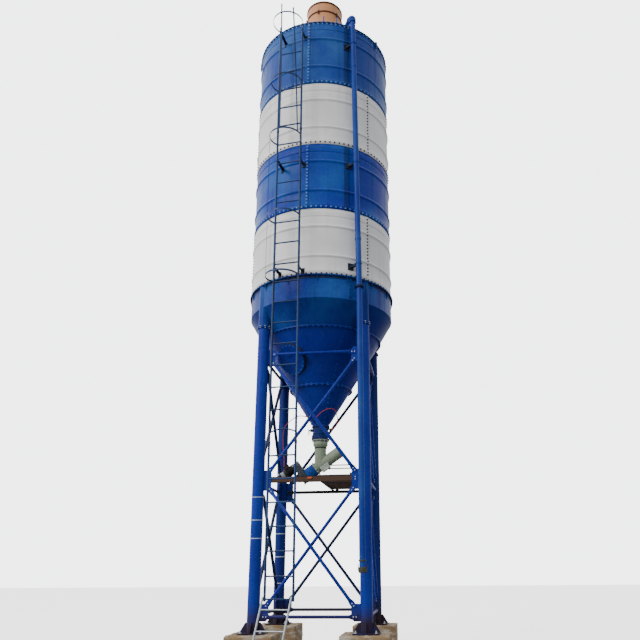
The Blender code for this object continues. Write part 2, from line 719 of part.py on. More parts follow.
def build_cage():
    """Safety cage: flat hoops round the climbing space and three upright straps."""
    hoops = bmesh.new()
    steps = 18
    start = math.atan2(-CAGE_OFFSET, LADDER_HALF_WIDTH)
    sweep = math.pi - 2 * start
    half_tall, half_thick = 0.014, 0.003
    for height in HOOP_HEIGHTS:
        sections = []
        for step in range(steps + 1):
            angle = start + sweep * step / steps
            ring = []
            for radius, rise in ((-1, -1), (1, -1), (1, 1), (-1, 1)):
                reach = CAGE_RADIUS + radius * half_thick
                place = ladder_point(
                    reach * math.cos(angle), CAGE_OFFSET + reach * math.sin(angle), height + rise * half_tall
                )
                ring.append(hoops.verts.new(place))
            sections.append(ring)
        hoops.faces.new(sections[0])
        hoops.faces.new(sections[-1])
        for one, two in zip(sections, sections[1:]):
            for i in range(4):
                j = (i + 1) % 4
                hoops.faces.new((one[i], one[j], two[j], two[i]))
    straps = bmesh.new()
    middle = CAGE_RADIUS - half_thick - 0.001
    for stations in CAGE_STRAPS:
        sections = []
        for degrees, height in stations:
            angle = math.radians(degrees)
            ring = []
            for radial, along in ((-1, -1), (1, -1), (1, 1), (-1, 1)):
                reach, aside = middle + radial * half_thick, along * 0.013
                across = reach * math.cos(angle) - aside * math.sin(angle)
                out = CAGE_OFFSET + reach * math.sin(angle) + aside * math.cos(angle)
                ring.append(straps.verts.new(ladder_point(across, out, height)))
            sections.append(ring)
        straps.faces.new(reversed(sections[0]))
        straps.faces.new(sections[-1])
        for one, two in zip(sections, sections[1:]):
            for i in range(4):
                j = (i + 1) % 4
                straps.faces.new((one[i], one[j], two[j], two[i]))
    bmesh.ops.triangulate(straps, faces=straps.faces)
    bmesh.ops.recalc_face_normals(straps, faces=straps.faces)
    rails = ladder_rails(outset(RAIL_RADIUS, TUBE_STEPS))
    combined("ladder_cage", LADDER_BLUE, straps, adds=[hoops], cuts=[rails])


def build_lower_ladder():
    """Short steel ladder that leans its head on the tall one and stands on the floor."""
    head_out = 0.024
    slant = LOWER_LADDER_FOOT
    rails = bmesh.new()
    rungs = bmesh.new()

    def place(side, height):
        share = 1 - height / LOWER_LADDER_TOP
        across = side + LOWER_LADDER_SHIFT + slant.x * share
        return ladder_point(across, head_out + slant.y * share, height)

    half = LADDER_HALF_WIDTH
    for side in (-half, half):
        add_rod(rails, place(side, 0.004), place(side, LOWER_LADDER_TOP), RAIL_RADIUS, TUBE_STEPS)
    for height in (0.290, 0.600, 0.905):
        add_rod(rungs, place(-half, height), place(half, height), RUNG_RADIUS, 8)
    floor = boxes(((4.0, 4.0, 1.0), (0.0, -1.5, -0.5)))
    keep_clear = ladder_rails(outset(RAIL_RADIUS, TUBE_STEPS))
    combined("lower_ladder", BARE_STEEL, rails, adds=[rungs], cuts=[floor, keep_clear])


def build_deck():
    """Service deck on the right half of the frame, with its two cross beams and under ribs."""
    beam_line = LEG_SPREAD - GUSSET_THICKNESS / 2 - GAP
    beam_depth = 0.048
    reach = LEG_SPREAD - LEG_RADIUS - 0.030
    front = boxes(((2 * reach, beam_depth, 0.100), (0, -beam_line + beam_depth / 2, DECK_TOP - 0.050)))
    rear = boxes(((2 * reach, beam_depth, 0.054), (0, beam_line - beam_depth / 2, DECK_TOP - 0.081)))
    cleats = boxes(*(((0.060, 0.050, 0.060), (x, 0.868, DECK_TOP - 0.038)) for x in (0.200, 0.700)))
    width = DECK_RIGHT - DECK_LEFT
    middle = (DECK_LEFT + DECK_RIGHT) / 2
    plate = boxes(((width, 2 * DECK_HALF_DEPTH, 0.012), (middle, 0, DECK_TOP - 0.006)))
    ribs = bmesh.new()
    for y in (-0.60, -0.20, 0.20, 0.60):
        place = Matrix.Translation((middle, y, DECK_TOP - 0.030)) @ Matrix.Diagonal((width, 0.070, 0.046, 1.0))
        bmesh.ops.create_cube(ribs, size=1.0, matrix=place)
    combined("service_deck", RUSTY_BROWN, front, adds=[rear, cleats, plate, ribs])


def smooth_route(points, spacing):
    """Even points along a smooth curve through the given ones."""
    points = [Vector(p) for p in points]
    padded = [points[0] * 2 - points[1], *points, points[-1] * 2 - points[-2]]
    dense = []
    for a, b, c, d in zip(padded, padded[1:], padded[2:], padded[3:]):
        for step in range(20):
            t = step / 20
            dense.append(
                0.5
                * (2 * b + (c - a) * t + (2 * a - 5 * b + 4 * c - d) * t * t + (3 * b - a - 3 * c + d) * t**3)
            )
    dense.append(points[-1])
    total = sum((q - p).length for p, q in zip(dense, dense[1:]))
    count = round(total / spacing)
    even, travelled, wanted = [dense[0]], 0.0, total / count
    for p, q in zip(dense, dense[1:]):
        length = (q - p).length
        while travelled + length >= wanted * len(even) and len(even) < count:
            even.append(p.lerp(q, (wanted * len(even) - travelled) / length))
        travelled += length
    even.append(dense[-1])
    return even


def build_air_line():
    """Red air hose from the cone's socket to the regulator on the rear left leg."""
    route = smooth_route(AIR_ROUTE, AIR_STEP)
    curve = bpy.data.curves.new("air_hose", "CURVE")
    curve.dimensions = "3D"
    curve.bevel_depth = AIR_RADIUS
    curve.bevel_resolution = 2
    curve.use_fill_caps = True
    spline = curve.splines.new("POLY")
    spline.points.add(len(route) - 1)
    for point, place in zip(spline.points, route):
        point.co = (*place, 1.0)
    hose = bpy.data.objects.new("air_hose", curve)
    curve.materials.append(HOSE_RED)
    bpy.context.scene.collection.objects.link(hose)
    hose.parent = AXIS

    leg = Vector((-LEG_SPREAD, LEG_SPREAD, 0))
    port = Vector(AIR_ROUTE[-1])
    body = rods([(port - Vector((0, 0, 0.104)), port - Vector((0, 0, 0.0006)))], 0.034, 12)
    towards_leg = math.atan2(leg.y - port.y, leg.x - port.x)
    arm_place = Matrix.Translation(port + Vector((-0.026, 0.054, -0.060))) @ Matrix.Rotation(towards_leg, 4, "Z")
    arm = boxes(((0.110, 0.030, 0.040), arm_place))
    tube = rods([(leg + Vector((0, 0, 3.0)), leg + Vector((0, 0, 3.5)))], outset(LEG_RADIUS, LEG_STEPS), LEG_STEPS)
    combined("air_regulator", BARE_STEEL, body, adds=[arm], cuts=[tube])


for leftover in list(bpy.data.objects):
    bpy.data.objects.remove(leftover)

AXIS = bpy.data.objects.new("silo_axis", None)
AXIS.location = FOOTPRINT_SHIFT
bpy.context.scene.collection.objects.link(AXIS)

SHELL_BLUE = finish("shell_blue_paint", (0.020, 0.110, 0.360), 0.45)
SHELL_WHITE = finish("shell_white_paint", (0.620, 0.640, 0.650), 0.50)
ROOF_BLUE = finish("roof_blue_paint", (0.020, 0.110, 0.340), 0.50)
FRAME_BLUE = finish("frame_blue_paint", (0.004, 0.070, 0.330), 0.40)
HOPPER_BLUE = finish("hopper_blue_paint", (0.004, 0.040, 0.200), 0.45)
PIPE_BLUE = finish("pipe_blue_paint", (0.020, 0.110, 0.340), 0.45)
LADDER_BLUE = finish("ladder_dark_paint", (0.015, 0.040, 0.100), 0.50)
FILTER_TAN = finish("filter_tan_paint", (0.560, 0.330, 0.180), 0.50)
VALVE_BLUE = finish("valve_blue_paint", (0.010, 0.060, 0.240), 0.45)
LEVER_BLACK = finish("lever_black_steel", (0.020, 0.020, 0.022), 0.50, 0.6)
FEEDER_GREEN = finish("feeder_green_paint", (0.360, 0.430, 0.280), 0.50)
DRIVE_GREY = finish("drive_grey_casting", (0.080, 0.100, 0.120), 0.55)
MOTOR_DARK = finish("motor_dark_casting", (0.050, 0.055, 0.055), 0.60)
RUSTY_BROWN = finish("rusty_steel", (0.090, 0.050, 0.035), 0.85)
CONCRETE = finish("rough_concrete", (0.360, 0.290, 0.210), 0.90)
BARE_STEEL = finish("bare_steel", (0.420, 0.460, 0.500), 0.45, 0.8)
HOSE_RED = finish("hose_red_rubber", (0.450, 0.060, 0.080), 0.50)

build_plinths()
build_legs()
build_frame_ties()
build_frame_braces()
build_shell()
build_roof()
build_filter()
build_skirt()
build_hopper()
build_manhole()
build_valve()
build_inlet()
build_screw_feeder()
build_fill_pipe()
build_ladder()
build_cage()
build_lower_ladder()
build_deck()
build_air_line()
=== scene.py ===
"""Looks of a bolted cement silo: sheet rings, hopper, braced frame, ladder, fill pipe and screw feeder.

Every piece is modelled in the silo's own axes, with the silo's centre line at x = y = 0 and the floor at z = 0,
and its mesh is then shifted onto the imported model's centre line. Sizes are metres.
"""

import logging
import math
from dataclasses import dataclass
from enum import Enum
from typing import Iterable, Self, Sequence

import bmesh
import bpy
from mathutils import Matrix, Vector, noise


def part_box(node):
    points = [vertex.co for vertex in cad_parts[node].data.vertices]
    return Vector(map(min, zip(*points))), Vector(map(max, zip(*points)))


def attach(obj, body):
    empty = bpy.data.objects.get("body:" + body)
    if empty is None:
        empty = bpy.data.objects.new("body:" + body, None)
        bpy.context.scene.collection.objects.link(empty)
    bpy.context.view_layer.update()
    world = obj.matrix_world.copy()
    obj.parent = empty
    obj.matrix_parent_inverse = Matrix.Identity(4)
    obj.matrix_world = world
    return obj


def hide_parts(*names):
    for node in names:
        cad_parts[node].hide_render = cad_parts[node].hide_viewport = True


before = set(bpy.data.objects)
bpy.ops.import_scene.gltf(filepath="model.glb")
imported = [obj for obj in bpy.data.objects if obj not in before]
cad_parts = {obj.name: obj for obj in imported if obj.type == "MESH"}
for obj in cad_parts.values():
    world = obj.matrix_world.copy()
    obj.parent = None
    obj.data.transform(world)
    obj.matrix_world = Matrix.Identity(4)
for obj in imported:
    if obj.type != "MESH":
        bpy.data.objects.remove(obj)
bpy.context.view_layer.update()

STRUCTURE = "silo"
LEVER = "lever"
CORNERS = {"front_left": (-1, -1), "front_right": (1, -1), "rear_right": (1, 1), "rear_left": (-1, 1)}
SIDES = ("front", "right", "rear", "left")
# Rows of points up a pressed sheet: (row, share of its height). They crowd where it is bent.
ROW_PLACES = ((0, 0.0), (1, 0.060), (3, 0.076), (5, 0.245), (15, 0.315), (18, 0.695), (28, 0.765), (30, 0.865),
              (34, 0.895), (36, 1.0))

Point = Sequence[float]
Colour = tuple[float, float, float, float]


def middle_of(node: str) -> Vector:
    """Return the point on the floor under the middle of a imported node."""
    low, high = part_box(node)
    return Vector(((low.x + high.x) / 2, (low.y + high.y) / 2, 0.0))


SILO_AXIS = middle_of("shell_course_top")


def linear(hex_colour: str) -> Colour:
    """Turn an sRGB colour into the linear values that shaders take.

    Args:
        hex_colour: Six hexadecimal digits, such as "1d4e9c".

    Returns:
        Red, green, blue and an alpha of 1.
    """
    channels = []
    for start in (0, 2, 4):
        value = int(hex_colour[start:start + 2], 16) / 255
        channels.append(value / 12.92 if value <= 0.04045 else ((value + 0.055) / 1.055) ** 2.4)
    return (channels[0], channels[1], channels[2], 1.0)


def add_node(tree: bpy.types.NodeTree, kind: str, inputs: dict | None = None, **settings: object) -> bpy.types.Node:
    """Add one node to a tree.

    Args:
        tree: The shader or geometry tree.
        kind: The node's type name.
        inputs: Values or other nodes' outputs, by the socket's name or number.
        settings: Attributes of the node, such as operation.

    Returns:
        The new node.
    """
    node = tree.nodes.new(kind)
    for name, value in settings.items():
        setattr(node, name, value)
    for key, value in (inputs or {}).items():
        if isinstance(value, bpy.types.NodeSocket):
            tree.links.new(value, node.inputs[key])
        else:
            node.inputs[key].default_value = value
    return node


def circle(centre: Vector, axis: Vector, radius: float, sides: int) -> list[Vector]:
    """Points round a circle.

    Args:
        centre: Its centre.
        axis: Square to its plane.
        radius: Its radius.
        sides: How many points.

    Returns:
        The points in order.
    """
    across = axis.orthogonal().normalized()
    other = axis.normalized().cross(across)
    turns = [math.tau * i / sides for i in range(sides)]
    return [centre + (across * math.cos(a) + other * math.sin(a)) * radius for a in turns]


class Sketch:
    """Collects the closed shapes of one piece in the silo's axes and turns them into an object."""

    def __init__(self) -> None:
        """Start with nothing drawn."""
        self.shape = bmesh.new()

    def loft(self, rings: Sequence[Sequence[Point]], closed: bool = False) -> Self:
        """Skin a run of rings that all have the same number of points.

        Args:
            rings: The rings in order; each is a loop of points.
            closed: Join the last ring to the first one in place of capping both ends.

        Returns:
            The sketch, so that calls can be chained.
        """
        made = [[self.shape.verts.new(point) for point in ring] for ring in rings]
        pairs = list(zip(made, made[1:]))
        if closed:
            pairs.append((made[-1], made[0]))
        else:
            self.shape.faces.new(list(reversed(made[0])))
            self.shape.faces.new(made[-1])
        for one, two in pairs:
            for i in range(len(one)):
                j = (i + 1) % len(one)
                self.shape.faces.new((one[i], one[j], two[j], two[i]))
        return self

    def block(self, size: Point, place: Matrix | Vector, chamfer: float = 0.0) -> Self:
        """Add a box with chamfered edges.

        Args:
            size: Its three sides.
            place: Its centre, or a matrix that puts it in place.
            chamfer: Width of the chamfer, or none.

        Returns:
            The sketch.
        """
        matrix = place if isinstance(place, Matrix) else shifted(place)
        made = bmesh.ops.create_cube(self.shape, size=1.0, matrix=matrix @ Matrix.Diagonal((*size, 1.0)))
        if chamfer:
            edges = list(dict.fromkeys(edge for vert in made["verts"] for edge in vert.link_edges))
            bmesh.ops.bevel(self.shape, geom=edges, offset=chamfer, segments=1, affect="EDGES")
        return self

    def bar(self, start: Point, end: Point, radius: float, sides: int = 24, end_radius: float | None = None) -> Self:
        """Add a round bar, or a cone where the end has its own radius.

        Args:
            start: Middle of one end.
            end: Middle of the other end.
            radius: Its radius.
            sides: Facets round it.
            end_radius: Radius at the end, or none for a plain bar.

        Returns:
            The sketch.
        """
        start, end = Vector(start), Vector(end)
        ends = ((start, radius), (end, radius if end_radius is None else end_radius))
        return self.loft([circle(place, end - start, size, sides) for place, size in ends])

    def disc(self, centre: Point, axis: Point, radius: float, thickness: float, sides: int = 48,
             edge: float = 0.002) -> Self:
        """Add a round plate with a small chamfer on both rims.

        Args:
            centre: Middle of its first face.
            axis: The way that it grows from there.
            radius: Its radius.
            thickness: Its thickness.
            sides: Facets round it.
            edge: Width of the chamfer.

        Returns:
            The sketch.
        """
        run = Vector(axis).normalized()
        steps = ((0, radius - edge), (edge, radius), (thickness - edge, radius), (thickness, radius - edge))
        return self.loft([circle(Vector(centre) + run * along, run, size, sides) for along, size in steps])

    def turned(self, profile: Sequence[tuple[float, float]], steps: int = 144, place: Matrix | None = None) -> Self:
        """Spin a closed outline round Z.

        Args:
            profile: (radius, height) points. A profile that touches the axis starts and ends there.
            steps: How many facets go round.
            place: A matrix for the finished ring.

        Returns:
            The sketch.
        """
        place = place or Matrix.Identity(4)
        rings = []
        for radius, height in profile:
            if radius < 1e-6:
                rings.append([self.shape.verts.new(place @ Vector((0, 0, height)))])
                continue
            turns = [math.tau * i / steps for i in range(steps)]
            rings.append(
                [self.shape.verts.new(place @ Vector((radius * math.cos(a), radius * math.sin(a), height)))
                 for a in turns]
            )
        pairs = list(zip(rings, rings[1:]))
        if len(rings[0]) > 1:
            pairs.append((rings[-1], rings[0]))
        for one, two in pairs:
            for i in range(steps):
                j = (i + 1) % steps
                corners = [one[i % len(one)], one[j % len(one)], two[j % len(two)], two[i % len(two)]]
                face = list(dict.fromkeys(corners))
                if len(face) > 2:
                    self.shape.faces.new(face)
        return self

    def tube(self, path: Sequence[Point], radius: float | Sequence[float], sides: int = 20,
             stretch: tuple[float, float] = (1.0, 1.0), up: Point = (0, 0, 1)) -> Self:
        """Sweep a round or flat section along a path.

        Args:
            path: Points to follow.
            radius: One radius, or one for each point.
            sides: Points round the section.
            stretch: Width and height of the section, as shares of the radius.
            up: The section's height lies as near this as the path allows.

        Returns:
            The sketch.
        """
        points = [Vector(point) for point in path]
        radii = [radius] * len(points) if isinstance(radius, float) else list(radius)
        rings = []
        for i, (point, size) in enumerate(zip(points, radii)):
            run = (points[min(i + 1, len(points) - 1)] - points[max(i - 1, 0)]).normalized()
            across = run.cross(Vector(up))
            if across.length < 1e-4:
                across = run.cross(Vector((0, 1, 0)))
            across.normalize()
            rise = across.cross(run)
            turns = [math.tau * (k + 0.5) / sides for k in range(sides)]
            rings.append(
                [point + (across * math.cos(a) * stretch[0] + rise * math.sin(a) * stretch[1]) * size for a in turns]
            )
        return self.loft(rings)

    def plate(self, outline: Sequence[tuple[float, float]], thickness: float, place: Matrix) -> Self:
        """Add a flat plate.

        Args:
            outline: Its outline in the matrix's XY plane.
            thickness: Its thickness, split about that plane.
            place: Puts it in place.

        Returns:
            The sketch.
        """
        rings = []
        for side in (-thickness / 2, thickness / 2):
            rings.append([place @ Vector((x, y, side)) for x, y in outline])
        return self.loft(rings)

    def absorb(self, mesh: bpy.types.Mesh) -> Self:
        """Take over a mesh that a recipe made, which already lies in the silo's axes.

        Args:
            mesh: The mesh, which is removed.

        Returns:
            The sketch.
        """
        self.shape.from_mesh(mesh)
        bpy.data.meshes.remove(mesh)
        return self

    def object(self, name: str, material: bpy.types.Material, sharp: float = 35.0,
               edge: float = 0.0) -> bpy.types.Object:
        """Finish the piece.

        Args:
            name: The piece's name.
            material: Its finish.
            sharp: Edges bent more than this many degrees stay sharp.
            edge: Width of a rounded edge put on by a Bevel modifier, or none.

        Returns:
            An object at the origin, with its place in its mesh.
        """
        bmesh.ops.recalc_face_normals(self.shape, faces=self.shape.faces)
        mesh = bpy.data.meshes.new(name)
        self.shape.to_mesh(mesh)
        self.shape.free()
        mesh.transform(shifted(SILO_AXIS))
        mesh.materials.clear()
        mesh.materials.append(material)
        mesh.shade_smooth()
        mesh.set_sharp_from_angle(angle=math.radians(sharp))
        made = linked(name, mesh)
        if edge:
            rounding = made.modifiers.new("rounded edges", "BEVEL")
            rounding.width = edge
            rounding.segments = 2
            rounding.limit_method = "ANGLE"
            rounding.angle_limit = math.radians(40)
            rounding.harden_normals = True
        return made

    def fit(self, name: str, paint: "Paint", slot: str, *nodes: str, body: str = STRUCTURE, sharp: float = 35.0,
            edge: float = 0.0) -> bpy.types.Object:
        """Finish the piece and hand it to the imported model, as object and install do."""
        return install(self.object(name, paint.coat(), sharp, edge), slot, *nodes, body=body)


def linked(name: str, data: bpy.types.ID) -> bpy.types.Object:
    """Put a new object into the scene.

    Args:
        name: Its name.
        data: Its mesh, lamp or lens.

    Returns:
        The object.
    """
    made = bpy.data.objects.new(name, data)
    bpy.context.scene.collection.objects.link(made)
    return made


def install(piece: bpy.types.Object, slot: str, *nodes: str, body: str = STRUCTURE) -> bpy.types.Object:
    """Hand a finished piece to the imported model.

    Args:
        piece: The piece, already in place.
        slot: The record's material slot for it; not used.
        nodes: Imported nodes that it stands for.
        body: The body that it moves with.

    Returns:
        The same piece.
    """
    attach(piece, body)
    if nodes:
        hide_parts(*nodes)
    return piece


# Stands a flat outline on its edge.
ON_EDGE = Matrix.Rotation(math.pi / 2, 4, "X")


def shifted(offset: Point) -> Matrix:
    """Matrix that only moves."""
    return Matrix.Translation(offset)


def spun(degrees: float) -> Matrix:
    """Rotation about the silo's axis."""
    return Matrix.Rotation(math.radians(degrees), 4, "Z")


def polar(radius: float, bearing: float, height: float) -> Vector:
    """Point at a radius, a bearing in degrees and a height."""
    angle = math.radians(bearing)
    return Vector((radius * math.cos(angle), radius * math.sin(angle), height))


def round_corners(width: float, height: float, radius: float, steps: int = 4) -> list[tuple[float, float]]:
    """Outline of a rectangle with rounded corners, centred on the origin.

    Args:
        width: Its width.
        height: Its height.
        radius: Radius of the corners.
        steps: Steps round one corner.

    Returns:
        The points in order.
    """
    points = []
    for index, (sx, sy) in enumerate(((1, 1), (-1, 1), (-1, -1), (1, -1))):
        centre = (sx * (width / 2 - radius), sy * (height / 2 - radius))
        for step in range(steps + 1):
            angle = math.pi / 2 * (index + step / steps)
            points.append((centre[0] + radius * math.cos(angle), centre[1] + radius * math.sin(angle)))
    return points


class Recipe:
    """A Geometry Nodes tree with named inputs. Each run gives one plain mesh in the silo's axes."""

    def __init__(self, name: str, sockets: dict[str, str]) -> None:
        """Start a tree.

        Args:
            name: The tree's name.
            sockets: Its inputs by name, each with the last word of its socket type, such as Float.
        """
        self.tree = bpy.data.node_groups.new(name, "GeometryNodeTree")
        self.keys: dict[str, str] = {}
        for label, kind in {**sockets, "Finish": "Material"}.items():
            socket = self.tree.interface.new_socket(name=label, in_out="INPUT", socket_type=f"NodeSocket{kind}")
            self.keys[label] = socket.identifier
        self.tree.interface.new_socket(name="Geometry", in_out="OUTPUT", socket_type="NodeSocketGeometry")
        self.given = self.tree.nodes.new("NodeGroupInput").outputs

    def node(self, kind: str, inputs: dict | None = None, **settings: object) -> bpy.types.Node:
        """Add one node to the tree."""
        return add_node(self.tree, kind, inputs, **settings)

    def around(self, angle: bpy.types.NodeSocket, reach: bpy.types.NodeSocket,
               height: bpy.types.NodeSocket) -> bpy.types.NodeSocket:
        """Nodes for a place round the silo's axis.

        Args:
            angle: Its bearing in radians.
            reach: Its distance from the axis.
            height: Its height.

        Returns:
            The place as a vector.
        """
        plan = []
        for way in ("COSINE", "SINE"):
            share = self.node("ShaderNodeMath", {0: angle}, operation=way)
            plan.append(self.node("ShaderNodeMath", {0: share.outputs[0], 1: reach}, operation="MULTIPLY").outputs[0])
        return self.node("ShaderNodeCombineXYZ", {0: plan[0], 1: plan[1], 2: height}).outputs[0]

    def spread(self, points: bpy.types.NodeSocket, rotation: bpy.types.NodeSocket) -> "Recipe":
        """Put the small part on points and close the tree.

        Args:
            points: Where the parts go.
            rotation: How each is turned.

        Returns:
            The recipe.
        """
        part = self.node("GeometryNodeObjectInfo", {"Object": self.given["Part"], "As Instance": True})
        copies = self.node("GeometryNodeInstanceOnPoints", {
            "Points": points, "Instance": part.outputs["Geometry"], "Rotation": rotation,
        })
        return self.end(copies.outputs[0])

    def end(self, geometry: bpy.types.NodeSocket) -> "Recipe":
        """Close the tree: make the instances real and give them their finish.

        Args:
            geometry: What the tree has made.

        Returns:
            The recipe.
        """
        real = self.node("GeometryNodeRealizeInstances", {"Geometry": geometry})
        dressed = self.node("GeometryNodeSetMaterial", {"Geometry": real.outputs[0], "Material": self.given["Finish"]})
        self.node("NodeGroupOutput", {"Geometry": dressed.outputs[0]})
        return self

    def mesh(self, **values: object) -> bpy.types.Mesh:
        """Run the tree once.

        Args:
            values: The inputs, with underscores for the spaces in their names.

        Returns:
            A plain mesh.
        """
        holder = linked("recipe_holder", bpy.data.meshes.new("recipe_holder"))
        modifier = holder.modifiers.new("recipe", "NODES")
        modifier.node_group = self.tree
        for label, value in values.items():
            modifier[self.keys[label.replace("_", " ")]] = value
        graph = bpy.context.evaluated_depsgraph_get()
        graph.update()
        made = bpy.data.meshes.new_from_object(holder.evaluated_get(graph), depsgraph=graph)
        blank = holder.data
        bpy.data.objects.remove(holder)
        bpy.data.meshes.remove(blank)
        return made


class Workshop:
    """The small parts that repeat and the recipes that set them out."""

    def __init__(self) -> None:
        """Make the recipes; small parts are added as they are needed."""
        self.units: dict[str, bpy.types.Object] = {}
        self.ring = self.ring_recipe()
        self.row = self.row_recipe()
        self.sheet = self.pressed_sheet_recipe()

    def unit(self, name: str, sketch: Sketch) -> bpy.types.Object:
        """Keep a small part for the recipes to repeat.

        Args:
            name: Its name.
            sketch: The part, drawn round the origin with +X outwards.

        Returns:
            Its hidden object.
        """
        bmesh.ops.recalc_face_normals(sketch.shape, faces=sketch.shape.faces)
        mesh = bpy.data.meshes.new(name)
        sketch.shape.to_mesh(mesh)
        sketch.shape.free()
        made = linked(name, mesh)
        made.hide_render = True
        self.units[name] = made
        return made

    def bolts(self, start: Point, end: Point | None = None, count: int = 1, facing: Point = (0.0, 0.0, 0.0),
              seed: int = 0, part: str = "hex_bolt") -> bpy.types.Mesh:
        """One bolt, or a straight row of them.

        Args:
            start: The first bolt's seat.
            end: The last bolt's seat, or none for one bolt.
            count: How many.
            facing: Euler angles that turn +X to the way the heads face.
            seed: Turns each head its own way.
            part: Which small part.

        Returns:
            Their mesh.
        """
        return self.row.mesh(
            Part=self.units[part], Start=Vector(start), End=Vector(start if end is None else end), Count=count,
            Facing=Vector(facing), Spin=math.tau, Seed=seed,
        )

    def bolt_ring(self, radius: float, height: float, count: int, first: float, tilt: float, seed: int,
                  part: str = "hex_bolt") -> bpy.types.Mesh:
        """Bolts set out evenly round the silo's axis.

        Args:
            radius: Radius of the circle that they sit on.
            height: Its height.
            count: How many.
            first: Bearing of the first one, in radians.
            tilt: Turns the heads from outwards to up or down.
            seed: Turns each head its own way.
            part: Which small part.

        Returns:
            Their mesh.
        """
        return self.ring.mesh(
            Part=self.units[part], Radius=radius, Height=height, Count=count, First_Angle=first, Tilt=tilt,
            Spin=math.tau, Seed=seed,
        )

    def clear(self) -> None:
        """Remove the small parts once everything has been set out."""
        for made in self.units.values():
            bpy.data.objects.remove(made)
        self.units.clear()

    def ring_recipe(self) -> Recipe:
        """Parts set out evenly round a circle about the silo's axis, each turned to face outwards.

        Returns:
            The recipe.
        """
        recipe = Recipe("parts_round_a_circle", {
            "Part": "Object", "Radius": "Float", "Height": "Float", "Count": "Int", "First Angle": "Float",
            "Tilt": "Float", "Spin": "Float", "Seed": "Int",
        })
        given = recipe.given
        points = recipe.node("GeometryNodePoints", {"Count": given["Count"]})
        index = recipe.node("GeometryNodeInputIndex")
        step = recipe.node("ShaderNodeMath", {0: math.tau, 1: given["Count"]}, operation="DIVIDE")
        angle = recipe.node("ShaderNodeMath", {
            0: index.outputs[0], 1: step.outputs[0], 2: given["First Angle"],
        }, operation="MULTIPLY_ADD")
        place = recipe.around(angle.outputs[0], given["Radius"], given["Height"])
        moved = recipe.node("GeometryNodeSetPosition", {"Geometry": points.outputs[0], "Position": place})
        spin = recipe.node(
            "FunctionNodeRandomValue", {"Max": given["Spin"], "ID": index.outputs[0], "Seed": given["Seed"]},
            data_type="FLOAT",
        )
        turn = recipe.node("ShaderNodeCombineXYZ", {0: spin.outputs[1], 1: given["Tilt"], 2: angle.outputs[0]})
        facing = recipe.node("FunctionNodeEulerToRotation", {0: turn.outputs[0]})
        return recipe.spread(moved.outputs[0], facing.outputs[0])

    def row_recipe(self) -> Recipe:
        """Parts set out evenly along a straight line, all facing one way.

        Returns:
            The recipe.
        """
        recipe = Recipe("parts_in_a_row", {
            "Part": "Object", "Start": "Vector", "End": "Vector", "Count": "Int", "Facing": "Vector", "Spin": "Float",
            "Seed": "Int",
        })
        given = recipe.given
        line = recipe.node(
            "GeometryNodeMeshLine", {"Count": given["Count"], "Start Location": given["Start"], "Offset": given["End"]},
            mode="END_POINTS", count_mode="TOTAL",
        )
        spin = recipe.node(
            "FunctionNodeRandomValue",
            {"Max": given["Spin"], "ID": recipe.node("GeometryNodeInputIndex").outputs[0], "Seed": given["Seed"]},
            data_type="FLOAT",
        )
        own = recipe.node("FunctionNodeAxisAngleToRotation", {"Axis": (1, 0, 0), "Angle": spin.outputs[1]})
        facing = recipe.node("FunctionNodeEulerToRotation", {0: given["Facing"]})
        both = recipe.node(
            "FunctionNodeRotateRotation", {"Rotation": facing.outputs[0], "Rotate By": own.outputs[0]},
            rotation_space="LOCAL",
        )
        return recipe.spread(line.outputs[0], both.outputs[0])

    def pressed_sheet_recipe(self) -> Recipe:
        """A curved sheet with two ribs pressed outwards, a rolled crease and a lap along its lower edge.

        Returns:
            The recipe.
        """
        recipe = Recipe("pressed_sheet", {
            "Radius": "Float", "Top": "Float", "Bottom": "Float", "First Angle": "Float", "Sweep": "Float",
            "Columns": "Int", "Rows": "Int", "Upper Rib": "Float", "Lower Rib": "Float", "Rib Height": "Float",
            "Rib Depth": "Float", "Crease": "Float", "Lap Height": "Float", "Lap Depth": "Float", "Joined": "Bool",
        })
        given = recipe.given
        grid = recipe.node("GeometryNodeMeshGrid", {
            "Size X": 1.0, "Size Y": 1.0, "Vertices X": given["Columns"], "Vertices Y": given["Rows"],
        })
        spot = recipe.node("ShaderNodeSeparateXYZ", {0: recipe.node("GeometryNodeInputPosition").outputs[0]})
        angle = recipe.node("ShaderNodeMapRange", {
            "Value": spot.outputs[0], "From Min": -0.5, "From Max": 0.5, "To Min": given["First Angle"],
            "To Max": recipe.node("ShaderNodeMath", {0: given["First Angle"], 1: given["Sweep"]}).outputs[0],
        })
        share = recipe.node("ShaderNodeMath", {0: spot.outputs[1], 1: 0.5}, operation="ADD")
        packed, last = 0.0, ROW_PLACES[-1][0]
        for (row, low), (after, high) in zip(ROW_PLACES, ROW_PLACES[1:]):
            span = recipe.node("ShaderNodeMapRange", {
                "Value": share.outputs[0], "From Min": row / last, "From Max": after / last, "To Min": 0.0,
                "To Max": high - low,
            })
            packed = recipe.node("ShaderNodeMath", {0: span.outputs[0], 1: packed}, operation="ADD").outputs[0]
        height = recipe.node("ShaderNodeMapRange", {
            "Value": packed, "From Min": 0.0, "From Max": 1.0, "To Min": given["Bottom"], "To Max": given["Top"],
        })
        reach = given["Radius"]
        half = recipe.node("ShaderNodeMath", {0: given["Rib Height"], 1: 0.5}, operation="MULTIPLY").outputs[0]
        inward = recipe.node("ShaderNodeMath", {0: given["Rib Depth"], 1: -0.5}, operation="MULTIPLY").outputs[0]
        for label, depth, width in (
            ("Upper Rib", given["Rib Depth"], half),
            ("Lower Rib", given["Rib Depth"], half),
            ("Crease", inward, 0.013),
        ):
            off = recipe.node("ShaderNodeMath", {0: height.outputs[0], 1: given[label]}, operation="SUBTRACT")
            away = recipe.node("ShaderNodeMath", {0: off.outputs[0]}, operation="ABSOLUTE")
